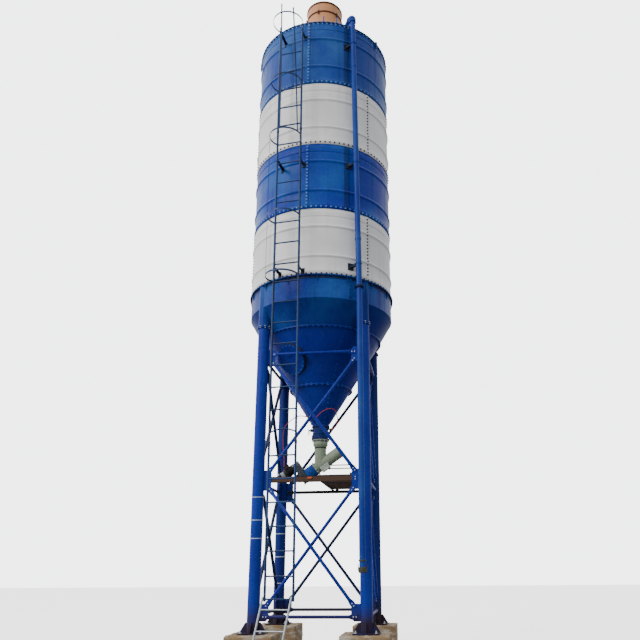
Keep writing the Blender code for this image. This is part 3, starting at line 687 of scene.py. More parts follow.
            swell = recipe.node("ShaderNodeMapRange", {
                "Value": away.outputs[0], "From Min": 0.0, "From Max": width, "To Min": 1.0, "To Max": 0.0,
            }, interpolation_type="SMOOTHSTEP")
            reach = recipe.node(
                "ShaderNodeMath", {0: swell.outputs[0], 1: depth, 2: reach}, operation="MULTIPLY_ADD"
            ).outputs[0]
        above = recipe.node("ShaderNodeMath", {0: height.outputs[0], 1: given["Bottom"]}, operation="SUBTRACT")
        lap = recipe.node("ShaderNodeMapRange", {
            "Value": above.outputs[0], "From Min": given["Lap Height"],
            "From Max": recipe.node("ShaderNodeMath", {0: given["Lap Height"], 1: 0.012}).outputs[0],
            "To Min": 1.0, "To Max": 0.0,
        })
        reach = recipe.node(
            "ShaderNodeMath", {0: lap.outputs[0], 1: given["Lap Depth"], 2: reach}, operation="MULTIPLY_ADD"
        ).outputs[0]
        place = recipe.around(angle.outputs[0], reach, height.outputs[0])
        rolled = recipe.node("GeometryNodeSetPosition", {"Geometry": grid.outputs[0], "Position": place})
        joined = recipe.node("GeometryNodeMergeByDistance", {"Geometry": rolled.outputs[0], "Distance": 0.0002})
        chosen = recipe.node(
            "GeometryNodeSwitch", {"Switch": given["Joined"], "False": rolled.outputs[0], "True": joined.outputs[0]},
            input_type="GEOMETRY",
        )
        return recipe.end(chosen.outputs[0])


def centred(tree: bpy.types.NodeTree, scale: Point = (1.0, 1.0, 1.0)) -> bpy.types.NodeSocket:
    """Object coordinates measured from the silo's axis.

    Args:
        tree: The material's tree.
        scale: Stretches the pattern; a small last number draws it out into upright streaks.

    Returns:
        The vector for a texture.
    """
    coordinates = add_node(tree, "ShaderNodeTexCoord")
    moved = add_node(tree, "ShaderNodeMapping", {"Vector": coordinates.outputs["Object"], "Location": -SILO_AXIS})
    return add_node(tree, "ShaderNodeMapping", {"Vector": moved.outputs[0], "Scale": scale}).outputs[0]


def patches(tree: bpy.types.NodeTree, place: bpy.types.NodeSocket, size: float, low: float, high: float,
            detail: float = 5.0, rough: float = 0.55) -> bpy.types.NodeSocket:
    """Soft random patches.

    Args:
        tree: The material's tree.
        place: Coordinates in metres.
        size: About how wide one patch is, in metres.
        low: Noise value where a patch begins.
        high: Noise value where it is full.
        detail: Octaves of the noise.
        rough: How much the small octaves count.

    Returns:
        A mask from 0 to 1.
    """
    blots = add_node(
        tree, "ShaderNodeTexNoise", {"Vector": place, "Scale": 1 / size, "Detail": detail, "Roughness": rough}
    )
    cut = add_node(
        tree, "ShaderNodeMapRange", {"Value": blots.outputs["Fac"], "From Min": low, "From Max": high},
        interpolation_type="SMOOTHSTEP",
    )
    return cut.outputs[0]


def blank_material(name: str, metallic: float = 0.0) -> tuple[bpy.types.Material, bpy.types.NodeTree, bpy.types.Node]:
    """A new material.

    Args:
        name: Its name.
        metallic: 1 for bare metal, 0 for everything else.

    Returns:
        The material, its tree and its Principled shader.
    """
    material = bpy.data.materials.new(name)
    material.use_nodes = True
    shader = material.node_tree.nodes["Principled BSDF"]
    shader.inputs["Metallic"].default_value = metallic
    return material, material.node_tree, shader


def stains_and_shade(tree: bpy.types.NodeTree, under: bpy.types.NodeSocket, masks: Iterable[tuple]) -> bpy.types.NodeSocket:
    """Lay stains, and in the shell enamel a band of painted shade, over a colour one after another.

    Args:
        tree: The material's tree.
        under: The clean colour.
        masks: (mask, strength, hex colour) for each stain or band of painted shade, the lowest first.

    Returns:
        The stained and shaded colour.
    """
    for mask, strength, colour in masks:
        share = add_node(tree, "ShaderNodeMath", {0: mask, 1: strength}, operation="MULTIPLY", use_clamp=True)
        under = add_node(
            tree, "ShaderNodeMix", {0: share.outputs[0], 6: under, 7: linear(colour)}, data_type="RGBA"
        ).outputs[2]
    return under


@dataclass(frozen=True)
class SprayedEnamel:
    """Alkyd enamel sprayed on steel sheet: an even satin gloss, chalked by the sun and dulled by rain and dust, with a
    dark band of painted shade beside the fill pipe where asked for.
    """

    name: str
    colour: str
    chalked: str
    # Colour of the rain streaks; it also colours the band of painted shade beside the fill pipe.
    grime_and_shade: str = "2b241d"
    dust: str = "8f8878"
    rust: str = "4a2a18"
    gloss: float = 0.34
    streaks: float = 0.35
    streak_width: float = 0.09
    dusting: float = 0.25
    chips: float = 0.25
    sheet_waves: float = 0.0
    specular: float = 0.13
    mud: float = 0.0
    # Strength of a dark band of painted shade beside the fill pipe, placed at pipe_bearing.
    pipe_shade: float = 0.0
    pipe_bearing: float = math.radians(-61.2)

    def material(self) -> bpy.types.Material:
        """Build the paint.

        Returns:
            A material whose colour, roughness and bump all follow the same streaks and dust.
        """
        material, tree, shader = blank_material(self.name)
        place = centred(tree)
        upright = centred(tree, (1.0, 1.0, 0.045))
        fading = patches(tree, place, 1.3, 0.38, 0.68)
        paint = add_node(
            tree, "ShaderNodeMix", {0: fading, 6: linear(self.colour), 7: linear(self.chalked)}, data_type="RGBA"
        ).outputs[2]
        streaks = patches(tree, upright, self.streak_width, 0.50, 0.74, detail=4.0)
        mottle = patches(tree, place, 0.045, 0.45, 0.75, detail=6.0)
        normal = add_node(tree, "ShaderNodeTexCoord").outputs["Normal"]
        upward = add_node(tree, "ShaderNodeSeparateXYZ", {0: normal}).outputs[2]
        facing = add_node(tree, "ShaderNodeMapRange", {"Value": upward, "From Min": 0.15, "From Max": 0.9})
        drifts = patches(tree, place, 0.12, 0.30, 0.62)
        settled = add_node(tree, "ShaderNodeMath", {0: facing.outputs[0], 1: drifts}, operation="MULTIPLY")
        chips = patches(tree, place, 0.016, 0.705, 0.735, detail=3.0)
        low = add_node(tree, "ShaderNodeMapRange", {
            "Value": add_node(tree, "ShaderNodeSeparateXYZ", {0: place}).outputs[2], "From Min": 0.98, "From Max": 0.66,
        })
        splashed = add_node(
            tree, "ShaderNodeMath", {0: low.outputs[0], 1: patches(tree, place, 0.09, 0.10, 0.48)}, operation="MULTIPLY"
        )
        # Painted shade: a dark upright band at the fill pipe's bearing, in the streak colour, stands in for the pipe's
        # shade on the shell.
        axes = add_node(tree, "ShaderNodeSeparateXYZ", {0: place}).outputs
        bearing = add_node(tree, "ShaderNodeMath", {0: axes[1], 1: axes[0]}, operation="ARCTAN2")
        off = add_node(tree, "ShaderNodeMath", {0: bearing.outputs[0], 1: self.pipe_bearing, 2: 0.045},
                       operation="COMPARE")
        behind = add_node(tree, "ShaderNodeMath", {0: off.outputs[0], 1: self.pipe_shade}, operation="MULTIPLY")
        colour = stains_and_shade(tree, paint, (
            (behind.outputs[0], 1.0, self.grime_and_shade),
            (streaks, self.streaks, self.grime_and_shade),
            (mottle, 0.05, self.dust),
            (settled.outputs[0], self.dusting, self.dust),
            (chips, self.chips, self.rust),
            (splashed.outputs[0], self.mud, "2e2017"),
        ))
        tree.links.new(colour, shader.inputs["Base Color"])
        shader.inputs["Specular IOR Level"].default_value = self.specular
        dulled = add_node(tree, "ShaderNodeMath", {0: streaks, 1: 0.16, 2: self.gloss}, operation="MULTIPLY_ADD")
        rough = add_node(tree, "ShaderNodeMath", {0: mottle, 1: 0.10, 2: dulled.outputs[0]}, operation="MULTIPLY_ADD")
        tree.links.new(rough.outputs[0], shader.inputs["Roughness"])
        # Orange peel is 2 mm across on the real paint and is drawn at 6 mm, so that it shows at all.
        peel = add_node(tree, "ShaderNodeTexNoise", {"Vector": place, "Scale": 160.0, "Detail": 2.0})
        bump = add_node(tree, "ShaderNodeBump", {"Height": peel.outputs["Fac"], "Strength": 0.06, "Distance": 0.002})
        if self.sheet_waves:
            waves = add_node(tree, "ShaderNodeTexNoise", {"Vector": place, "Scale": 2.6, "Detail": 1.5})
            bump = add_node(tree, "ShaderNodeBump", {
                "Height": waves.outputs["Fac"], "Strength": self.sheet_waves, "Distance": 0.05,
                "Normal": bump.outputs[0],
            })
        tree.links.new(bump.outputs[0], shader.inputs["Normal"])
        return material


@dataclass(frozen=True)
class RoughSteel:
    """Mill, cast or galvanised steel: a metal with a dull oxide skin, grain you can see and rust in patches."""

    name: str
    colour: str
    oxide: str
    rust: str = "6b3d20"
    metallic: float = 0.8
    gloss: float = 0.45
    grain: float = 0.004
    relief: float = 0.25
    rusting: float = 0.3

    def material(self) -> bpy.types.Material:
        """Build the metal.

        Returns:
            A material with oxide patches, rust blooms and a grained bump.
        """
        material, tree, shader = blank_material(self.name, self.metallic)
        place = centred(tree)
        oxide = patches(tree, place, 0.09, 0.40, 0.66, detail=7.0)
        blooms = patches(tree, place, 0.035, 0.52, 0.70, detail=7.0, rough=0.65)
        base = add_node(tree, "ShaderNodeRGB")
        base.outputs[0].default_value = linear(self.colour)
        colour = stains_and_shade(tree, base.outputs[0], ((oxide, 0.75, self.oxide), (blooms, self.rusting, self.rust)))
        tree.links.new(colour, shader.inputs["Base Color"])
        rough = add_node(tree, "ShaderNodeMath", {0: blooms, 1: 0.35, 2: self.gloss}, operation="MULTIPLY_ADD")
        tree.links.new(rough.outputs[0], shader.inputs["Roughness"])
        grains = add_node(tree, "ShaderNodeTexNoise", {"Vector": place, "Scale": 1 / self.grain, "Detail": 3.0})
        bump = add_node(tree, "ShaderNodeBump", {
            "Height": grains.outputs["Fac"], "Strength": self.relief, "Distance": self.grain / 2,
        })
        tree.links.new(bump.outputs[0], shader.inputs["Normal"])
        return material


@dataclass(frozen=True)
class CastConcrete:
    """Concrete cast in a timber form: sandy and matt, with pits, board lines and earth splashed on its foot."""

    name: str = "cast_concrete"
    cement: str = "b3aea0"
    sand: str = "826a4c"
    damp: str = "44372a"
    pit_width: float = 0.012

    def material(self) -> bpy.types.Material:
        """Build the concrete.

        Returns:
            A material with board lines, pits and a splashed foot.
        """
        material, tree, shader = blank_material(self.name)
        place = centred(tree)
        clouds = patches(tree, centred(tree, (1.0, 1.0, 2.6)), 0.26, 0.30, 0.58, detail=8.0, rough=0.62)
        mixed = add_node(
            tree, "ShaderNodeMix", {0: clouds, 6: linear(self.cement), 7: linear(self.sand)}, data_type="RGBA"
        ).outputs[2]
        grit = patches(tree, place, 0.010, 0.48, 0.70, detail=4.0)
        pits = patches(tree, place, self.pit_width, 0.66, 0.74, detail=3.0)
        height = add_node(tree, "ShaderNodeSeparateXYZ", {0: place}).outputs[2]
        splash = add_node(tree, "ShaderNodeMapRange", {"Value": height, "From Min": 0.22, "From Max": 0.0})
        mud = patches(tree, place, 0.15, 0.25, 0.6)
        splashed = add_node(tree, "ShaderNodeMath", {0: splash.outputs[0], 1: mud}, operation="MULTIPLY")
        colour = stains_and_shade(tree, mixed, (
            (grit, 0.35, "c4b391"), (pits, 0.7, self.damp), (splashed.outputs[0], 0.8, self.damp),
        ))
        tree.links.new(colour, shader.inputs["Base Color"])
        shader.inputs["Roughness"].default_value = 0.92
        shader.inputs["Specular IOR Level"].default_value = 0.3
        # Form boards 110 mm tall leave a fin of mortar between them.
        boards = add_node(
            tree, "ShaderNodeTexWave", {"Vector": place, "Scale": 1 / (0.110 * 20), "Distortion": 0.6},
            bands_direction="Z", wave_profile="SAW",
        )
        lines = add_node(tree, "ShaderNodeBump", {"Height": boards.outputs["Fac"], "Strength": 0.15, "Distance": 0.004})
        deep = add_node(tree, "ShaderNodeBump", {
            "Height": pits, "Strength": 0.8, "Distance": 0.004, "Normal": lines.outputs[0],
        })
        deep.invert = True
        sandy = add_node(tree, "ShaderNodeBump", {
            "Height": grit, "Strength": 0.5, "Distance": 0.002, "Normal": deep.outputs[0],
        })
        tree.links.new(sandy.outputs[0], shader.inputs["Normal"])
        return material


@dataclass(frozen=True)
class Moulded:
    """Rubber, tape or plastic: one matt colour with dirt in it and next to no grain."""

    name: str
    colour: str
    dirt: str = "3b332a"
    gloss: float = 0.55
    dirtiness: float = 0.4

    def material(self) -> bpy.types.Material:
        """Build the rubber or plastic.

        Returns:
            A matt material with smears of dirt.
        """
        material, tree, shader = blank_material(self.name)
        place = centred(tree)
        smears = patches(tree, place, 0.05, 0.45, 0.72, detail=6.0)
        base = add_node(tree, "ShaderNodeRGB")
        base.outputs[0].default_value = linear(self.colour)
        colour = stains_and_shade(tree, base.outputs[0], ((smears, self.dirtiness, self.dirt),))
        tree.links.new(colour, shader.inputs["Base Color"])
        rough = add_node(tree, "ShaderNodeMath", {0: smears, 1: 0.2, 2: self.gloss}, operation="MULTIPLY_ADD")
        tree.links.new(rough.outputs[0], shader.inputs["Roughness"])
        grain = add_node(tree, "ShaderNodeTexNoise", {"Vector": place, "Scale": 400.0, "Detail": 2.0})
        bump = add_node(tree, "ShaderNodeBump", {"Height": grain.outputs["Fac"], "Strength": 0.12, "Distance": 0.001})
        tree.links.new(bump.outputs[0], shader.inputs["Normal"])
        return material


class Paint(Enum):
    """Every finish on the silo, named for the surface that it covers."""

    # The two blue courses carry a dark band of painted shade beside the fill pipe.
    SHELL_BLUE = SprayedEnamel("shell_blue_enamel", "042692", "1052a0", grime_and_shade="04133d", sheet_waves=0.25, gloss=0.32,
                               dusting=0.1, pipe_shade=0.55)
    SHELL_TOP = SprayedEnamel("shell_top_enamel", "0f388e", "2a62a0", grime_and_shade="0b1c44", sheet_waves=0.25, gloss=0.36,
                              dusting=0.1, streaks=0.3, pipe_shade=0.55)
    SHELL_WHITE = SprayedEnamel("shell_white_enamel", "dfe0e1", "d2d3d5", grime_and_shade="7d7a76", rust="6d5140", streaks=0.22,
                                sheet_waves=0.25, gloss=0.36, dust="a9a296", dusting=0.1, specular=0.4)
    ROOF_BLUE = SprayedEnamel("roof_blue_enamel", "163f8f", "3a66a0", grime_and_shade="0b1c44", dusting=0.3, gloss=0.42)
    FRAME_BLUE = SprayedEnamel("frame_blue_enamel", "07248e", "0e3499", grime_and_shade="04133d", gloss=0.36, streak_width=0.05,
                               dusting=0.15, chips=0.4, mud=0.9)
    # A darker copy of the frame blue for the rear legs: painted shade.
    LEG_SHADED_BLUE = SprayedEnamel("leg_painted_shade_enamel", "081f6c", "0e2c78", grime_and_shade="040c2c", gloss=0.5, streak_width=0.05,
                             dusting=0.15, chips=0.4, mud=0.9)
    # A darker copy of the frame blue, used as painted shade on the rear and left braces and under the skirt's flange;
    # it also colours the pipe flange and the skirt bolts.
    BRACE_DARK = SprayedEnamel("dark_enamel_and_painted_shade", "0a1c45", "10285c", grime_and_shade="060a18", gloss=0.5, streak_width=0.05,
                               dusting=0.15, mud=0.9)
    HOPPER_BLUE = SprayedEnamel("hopper_blue_enamel", "0a2089", "0f2f95", grime_and_shade="030c33", gloss=0.36, dusting=0.0)
    SKIRT_BLUE = SprayedEnamel("skirt_blue_enamel", "06207a", "1c4f96", grime_and_shade="04133d", gloss=0.34, streak_width=0.12,
                               dusting=0.1, specular=0.08)
    PIPE_BLUE = SprayedEnamel("pipe_blue_enamel", "112f89", "234a97", grime_and_shade="0a1a44", gloss=0.38, streak_width=0.03,
                              dusting=0.1)
    LADDER_DARK = SprayedEnamel("ladder_dark_enamel", "0c2854", "1f4378", grime_and_shade="0a1736", gloss=0.40, streak_width=0.03,
                                chips=0.4, dusting=0.15, specular=0.2)
    ARM_DARK = SprayedEnamel("arm_dark_enamel", "10192b", "1d2b42", grime_and_shade="080a10", gloss=0.55, dusting=0.15)
    FILTER_TAN = SprayedEnamel("filter_tan_enamel", "c98a5a", "b67a54", grime_and_shade="7a5436", gloss=0.45, streaks=0.35,
                               dusting=0.15, dust="b9a483", specular=0.4)
    FILTER_BROWN = SprayedEnamel("filter_brown_enamel", "4a2415", "5f3822", gloss=0.55, dusting=0.1)
    VALVE_BLUE = SprayedEnamel("valve_blue_enamel", "0a1f5c", "15357c", gloss=0.45, streak_width=0.03, chips=0.5,
                               dusting=0.1)
    FEEDER_GREEN = SprayedEnamel("feeder_green_enamel", "89977e", "9aa88e", grime_and_shade="3f3d2f", gloss=0.42,
                                 streak_width=0.03, streaks=0.35, specular=0.4)
    HATCH_PALE = SprayedEnamel("hatch_pale_enamel", "a9b5a0", "b9c2b0", grime_and_shade="55584a", gloss=0.42, streak_width=0.03)
    DRUM_BLUE = SprayedEnamel("drum_blue_enamel", "0a3aa0", "3a74c0", gloss=0.45, streak_width=0.03, chips=0.5,
                              dusting=0.1)
    DRIVE_GREY = RoughSteel("drive_grey_iron", "39424a", "262c31", metallic=0.2, gloss=0.55, grain=0.006, rusting=0.15)
    MOTOR_DARK = RoughSteel("motor_dark_iron", "1c1e20", "121416", metallic=0.3, gloss=0.6, grain=0.006, rusting=0.1)
    LEVER_BLACK = RoughSteel("lever_black_steel", "131415", "0b0c0d", metallic=0.3, gloss=0.5, rusting=0.05)
    RUSTY = RoughSteel("rusty_steel", "48413c", "2f2a28", rust="7d4220", metallic=0.1, gloss=0.8, relief=0.5,
                       rusting=0.8)
    CUFF = RoughSteel("cuff_olive_iron", "3f4230", "2b2d25", rust="5a3a22", metallic=0.1, gloss=0.6, rusting=0.5)
    DECK_GREY = RoughSteel("deck_grey_steel", "4d5150", "34383a", metallic=0.1, gloss=0.6, rusting=0.35)
    DECK_BLACK = RoughSteel("deck_black_steel", "1b1a20", "121013", metallic=0.2, gloss=0.6, rusting=0.2)
    BARE_STEEL = RoughSteel("bare_steel", "6f93b8", "557796", metallic=0.35, gloss=0.42, rusting=0.15)
    ZINC = RoughSteel("zinc_plate", "c4cacf", "a3aab0", metallic=0.3, gloss=0.42, rusting=0.1)
    BOLT_DARK = RoughSteel("bolt_dark_steel", "201b19", "14110f", rust="3a2318", metallic=0.2, gloss=0.6, rusting=0.4)
    BOLT_BLUE = SprayedEnamel("bolt_blue_enamel", "5f84c0", "8fabd4", grime_and_shade="0a1636", gloss=0.4, streak_width=0.02,
                              streaks=0.6, dusting=0.1)
    ALUMINIUM = RoughSteel("cast_aluminium", "c2c6c8", "9da3a6", metallic=0.4, gloss=0.4, rusting=0.0)
    BRASS = RoughSteel("brass", "b08d4a", "7d6434", metallic=0.9, gloss=0.35, rusting=0.0)
    CONCRETE = CastConcrete()
    HOSE_RED = Moulded("hose_red_rubber", "c8394a")
    RUBBER_BLACK = Moulded("black_rubber", "121314", gloss=0.65, dirtiness=0.2)
    # Dark navy for the manhole's gasket and for the ring of painted shade round its cover.
    SEAL_AND_SHADE_NAVY = Moulded("navy_seal_and_shade", "0c1733", gloss=0.7, dirtiness=0.3)
    TAPE_WHITE = Moulded("white_tape", "b9cbe0", dirtiness=0.3)
    ORANGE = Moulded("orange_plastic", "c4552a")

    def coat(self) -> bpy.types.Material:
        """The finish's material, built the first time that it is asked for."""
        return bpy.data.materials.get(self.value.name) or self.value.material()


def build_units(shop: Workshop) -> None:
    """Draw the small parts that the recipes repeat; +X is outwards and each origin lies on the seat.

    Args:
        shop: The workshop that keeps them.
    """
    bolt = Sketch().bar((0, 0, 0), (0.003, 0, 0), 0.018, 10).bar((0.002, 0, 0), (0.014, 0, 0), 0.0135, 6)
    shop.unit("hex_bolt", bolt)
    through = Sketch().bar((-0.038, 0, 0), (0.012, 0, 0), 0.008, 8)
    through.bar((0.0, 0, 0), (0.003, 0, 0), 0.016, 10).bar((0.002, 0, 0), (0.012, 0, 0), 0.0125, 6)
    through.bar((-0.027, 0, 0), (-0.024, 0, 0), 0.016, 10).bar((-0.036, 0, 0), (-0.026, 0, 0), 0.0125, 6)
    shop.unit("flange_bolt", through)
    heavy = Sketch().bar((0, 0, 0), (0.004, 0, 0), 0.024, 12).bar((0.003, 0, 0), (0.018, 0, 0), 0.018, 6)
    heavy.bar((0.016, 0, 0), (0.040, 0, 0), 0.0105, 10)
    shop.unit("anchor_bolt", heavy)
    shop.unit("cap_bolt", Sketch().bar((0, 0, 0), (0.010, 0, 0), 0.0105, 8))


@dataclass
class Plinths:
    """Four blocks cast on the ground, with crumbled arrises."""

    side: float = 0.800
    top: float = 0.505
    centre: float = 0.920
    cells: int = 22
    arris: float = 0.030
    crumble: float = 0.030

    def build(self) -> list[bpy.types.Object]:
        """Cast the four blocks.

        Returns:
            One piece for each block.
        """
        made = []
        for seed, (corner, (x, y)) in enumerate(CORNERS.items()):
            sketch = Sketch()
            middle = Vector((x * self.centre, y * self.centre, self.top / 2))
            sketch.block((self.side, self.side, self.top), middle)
            bmesh.ops.subdivide_edges(sketch.shape, edges=sketch.shape.edges, cuts=self.cells, use_grid_fill=True)
            for vert in sketch.shape.verts:
                vert.co = self.worn(vert.co, middle, seed)
            name, node = f"concrete_block_{corner}", f"plinth_{corner}"
            made.append(sketch.fit(name, Paint.CONCRETE, "rough_concrete", node, sharp=60))
        return made

    def worn(self, point: Vector, middle: Vector, seed: int) -> Vector:
        """Round a point of the block off at its arrises and crumble it.

        Args:
            point: A point on the block's surface.
            middle: The block's middle.
            seed: Makes each block its own.

        Returns:
            The point's new place, never outside the block.
        """
        off = point - middle
        half = Vector((self.side / 2, self.side / 2, self.top / 2))
        wear = fractal(point * 7 + Vector((0, 0, seed * 5.3)))
        limit = self.arris * (0.6 + 1.6 * max(0.0, wear))
        inner = Vector([max(h - limit, 0.01) for h in half])
        core = Vector([max(-i, min(i, o)) for o, i in zip(off, inner)])
        skin = off - core
        if skin.length > limit:
            skin = skin.normalized() * limit
        worn = core + skin
        rough = self.crumble * 0.25 * (1 + fractal(point * 23 + Vector((seed, 0, 0))))
        inward = -Vector([o if abs(o) > h - 1e-4 else 0.0 for o, h in zip(off, half)])
        if off.z < -half.z + 1e-4:
            worn.z = off.z
            inward.z = 0.0
        if inward.length:
            worn += inward.normalized() * rough
        return middle + worn


def fractal(point: Vector) -> float:
    """Layered noise from -1 to 1 at a point, the same on every run."""
    return noise.fractal(point, 0.7, 2.1, 4)


@dataclass
class Legs:
    """Four tube legs on base plates, with bolted heads and the gusset plates that carry the bracing."""

    spread: float = 0.935
    radius: float = 0.103
    foot: float = 0.5053
    top: float = 5.785
    plate_side: float = 0.430
    plate_thickness: float = 0.016
    flange_radius: float = 0.131
    flange_thickness: float = 0.014
    anchor_offset: float = 0.165
    bolt_circle: float = 0.118
    fin_reach: float = 0.108
    fin_height: float = 0.150
    gussets: tuple = ((5.225, 0.27, 0.130), (2.965, 0.35, 0.130), (0.820, 0.27, 0.150))
    gusset_thickness: float = 0.010
    bands: tuple = (("front_left", (2.682, 2.299, 1.998)), ("rear_left", (2.158, 1.726, 1.242)))

    def build(self, shop: Workshop) -> list[bpy.types.Object]:
        """Make the legs, their bolts and the tape bands.

        Args:
            shop: Recipes for the bolts.

        Returns:
            The pieces.
        """
        made = []
        for corner, (x, y) in CORNERS.items():
            foot = Vector((x * self.spread, y * self.spread, 0.0))
            # The rear legs get the darker copy of the frame blue as painted shade.
            paint = Paint.FRAME_BLUE if y < 0 else Paint.LEG_SHADED_BLUE
            made.append(self.leg(foot, x, y).fit(f"tube_leg_{corner}", paint, "frame_blue_paint", f"leg_{corner}"))
            fasteners = Sketch()
            for spot_x in (-1, 1):
                for spot_y in (-1, 1):
                    seat = foot + Vector((
                        spot_x * self.anchor_offset, spot_y * self.anchor_offset, self.foot + self.plate_thickness,
                    ))
                    seed = spot_x + 2 * spot_y + 5
                    fasteners.absorb(shop.bolts(seat, facing=(0, -math.pi / 2, 0), seed=seed, part="anchor_bolt"))
            for step in range(8):
                angle = math.tau * (step + 0.5) / 8
                seat = foot + Vector((
                    self.bolt_circle * math.cos(angle), self.bolt_circle * math.sin(angle), self.top + 0.0143,
                ))
                fasteners.absorb(shop.bolts(seat, facing=(0, -math.pi / 2, 0), seed=step, part="flange_bolt"))
            made.append(fasteners.fit(f"leg_bolts_{corner}", Paint.ZINC, "bare_steel"))
        tape = Sketch()
        for corner, heights in self.bands:
            x, y = CORNERS[corner]
            for height in heights:
                ring = [(self.radius - 0.001, -0.007), (self.radius + 0.0012, -0.007), (self.radius + 0.0012, 0.007),
                        (self.radius - 0.001, 0.007)]
                place = shifted((x * self.spread, y * self.spread, height)) @ Matrix.Rotation(0.05, 4, "X")
                tape.turned(ring, 48, place)
        made.append(tape.fit("leg_tape_bands", Paint.TAPE_WHITE, "shell_white_paint"))
        return made

    def leg(self, foot: Vector, x: int, y: int) -> Sketch:
        """Draw one leg.

        Args:
            foot: The leg's centre on the floor.
            x: -1 for the left side, 1 for the right.
            y: -1 for the front, 1 for the rear.

        Returns:
            The leg with its plate, fins, flange and gussets.
        """
        sketch = Sketch()
        sketch.bar(foot + Vector((0, 0, self.foot)), foot + Vector((0, 0, self.top)), self.radius, 64)
        plate = round_corners(self.plate_side, self.plate_side, 0.012)
        sketch.plate(plate, self.plate_thickness, shifted(foot + Vector((0, 0, self.foot + 0.008))))
        sketch.disc(foot + Vector((0, 0, self.top - self.flange_thickness)), (0, 0, 1), self.flange_radius,
                    self.flange_thickness, 64)
        floor = self.foot + self.plate_thickness
        for quarter in range(4):
            turn = Matrix.Rotation(quarter * math.pi / 2, 4, "Z") @ ON_EDGE
            outline = [(0.06, -0.002), (self.radius + self.fin_reach, -0.002), (self.radius + self.fin_reach, 0.020),
                       (self.radius + 0.025, self.fin_height), (0.06, self.fin_height)]
            sketch.plate(outline, 0.010, shifted(foot + Vector((0, 0, floor))) @ turn)
        for height, tall, wide in self.gussets:
            crop = 0.045
            far = self.radius + wide
            outline = [(0.06, -tall / 2), (far - crop, -tall / 2), (far, -tall / 2 + crop), (far, tall / 2 - crop),
                       (far - crop, tall / 2), (0.06, tall / 2)]
            centre = foot + Vector((0, 0, height))
            for heading in (0.0 if x < 0 else math.pi, math.pi / 2 if y < 0 else -math.pi / 2):
                turn = Matrix.Rotation(heading, 4, "Z") @ ON_EDGE
                sketch.plate(outline, self.gusset_thickness, shifted(centre) @ turn)
            weld = [(self.radius - 0.003, -0.004), (self.radius + 0.004, -0.002), (self.radius + 0.004, 0.002),
                    (self.radius - 0.003, 0.004)]
            sketch.turned(weld, 48, shifted(foot + Vector((0, 0, height + tall / 2 + 0.02))))
        return sketch


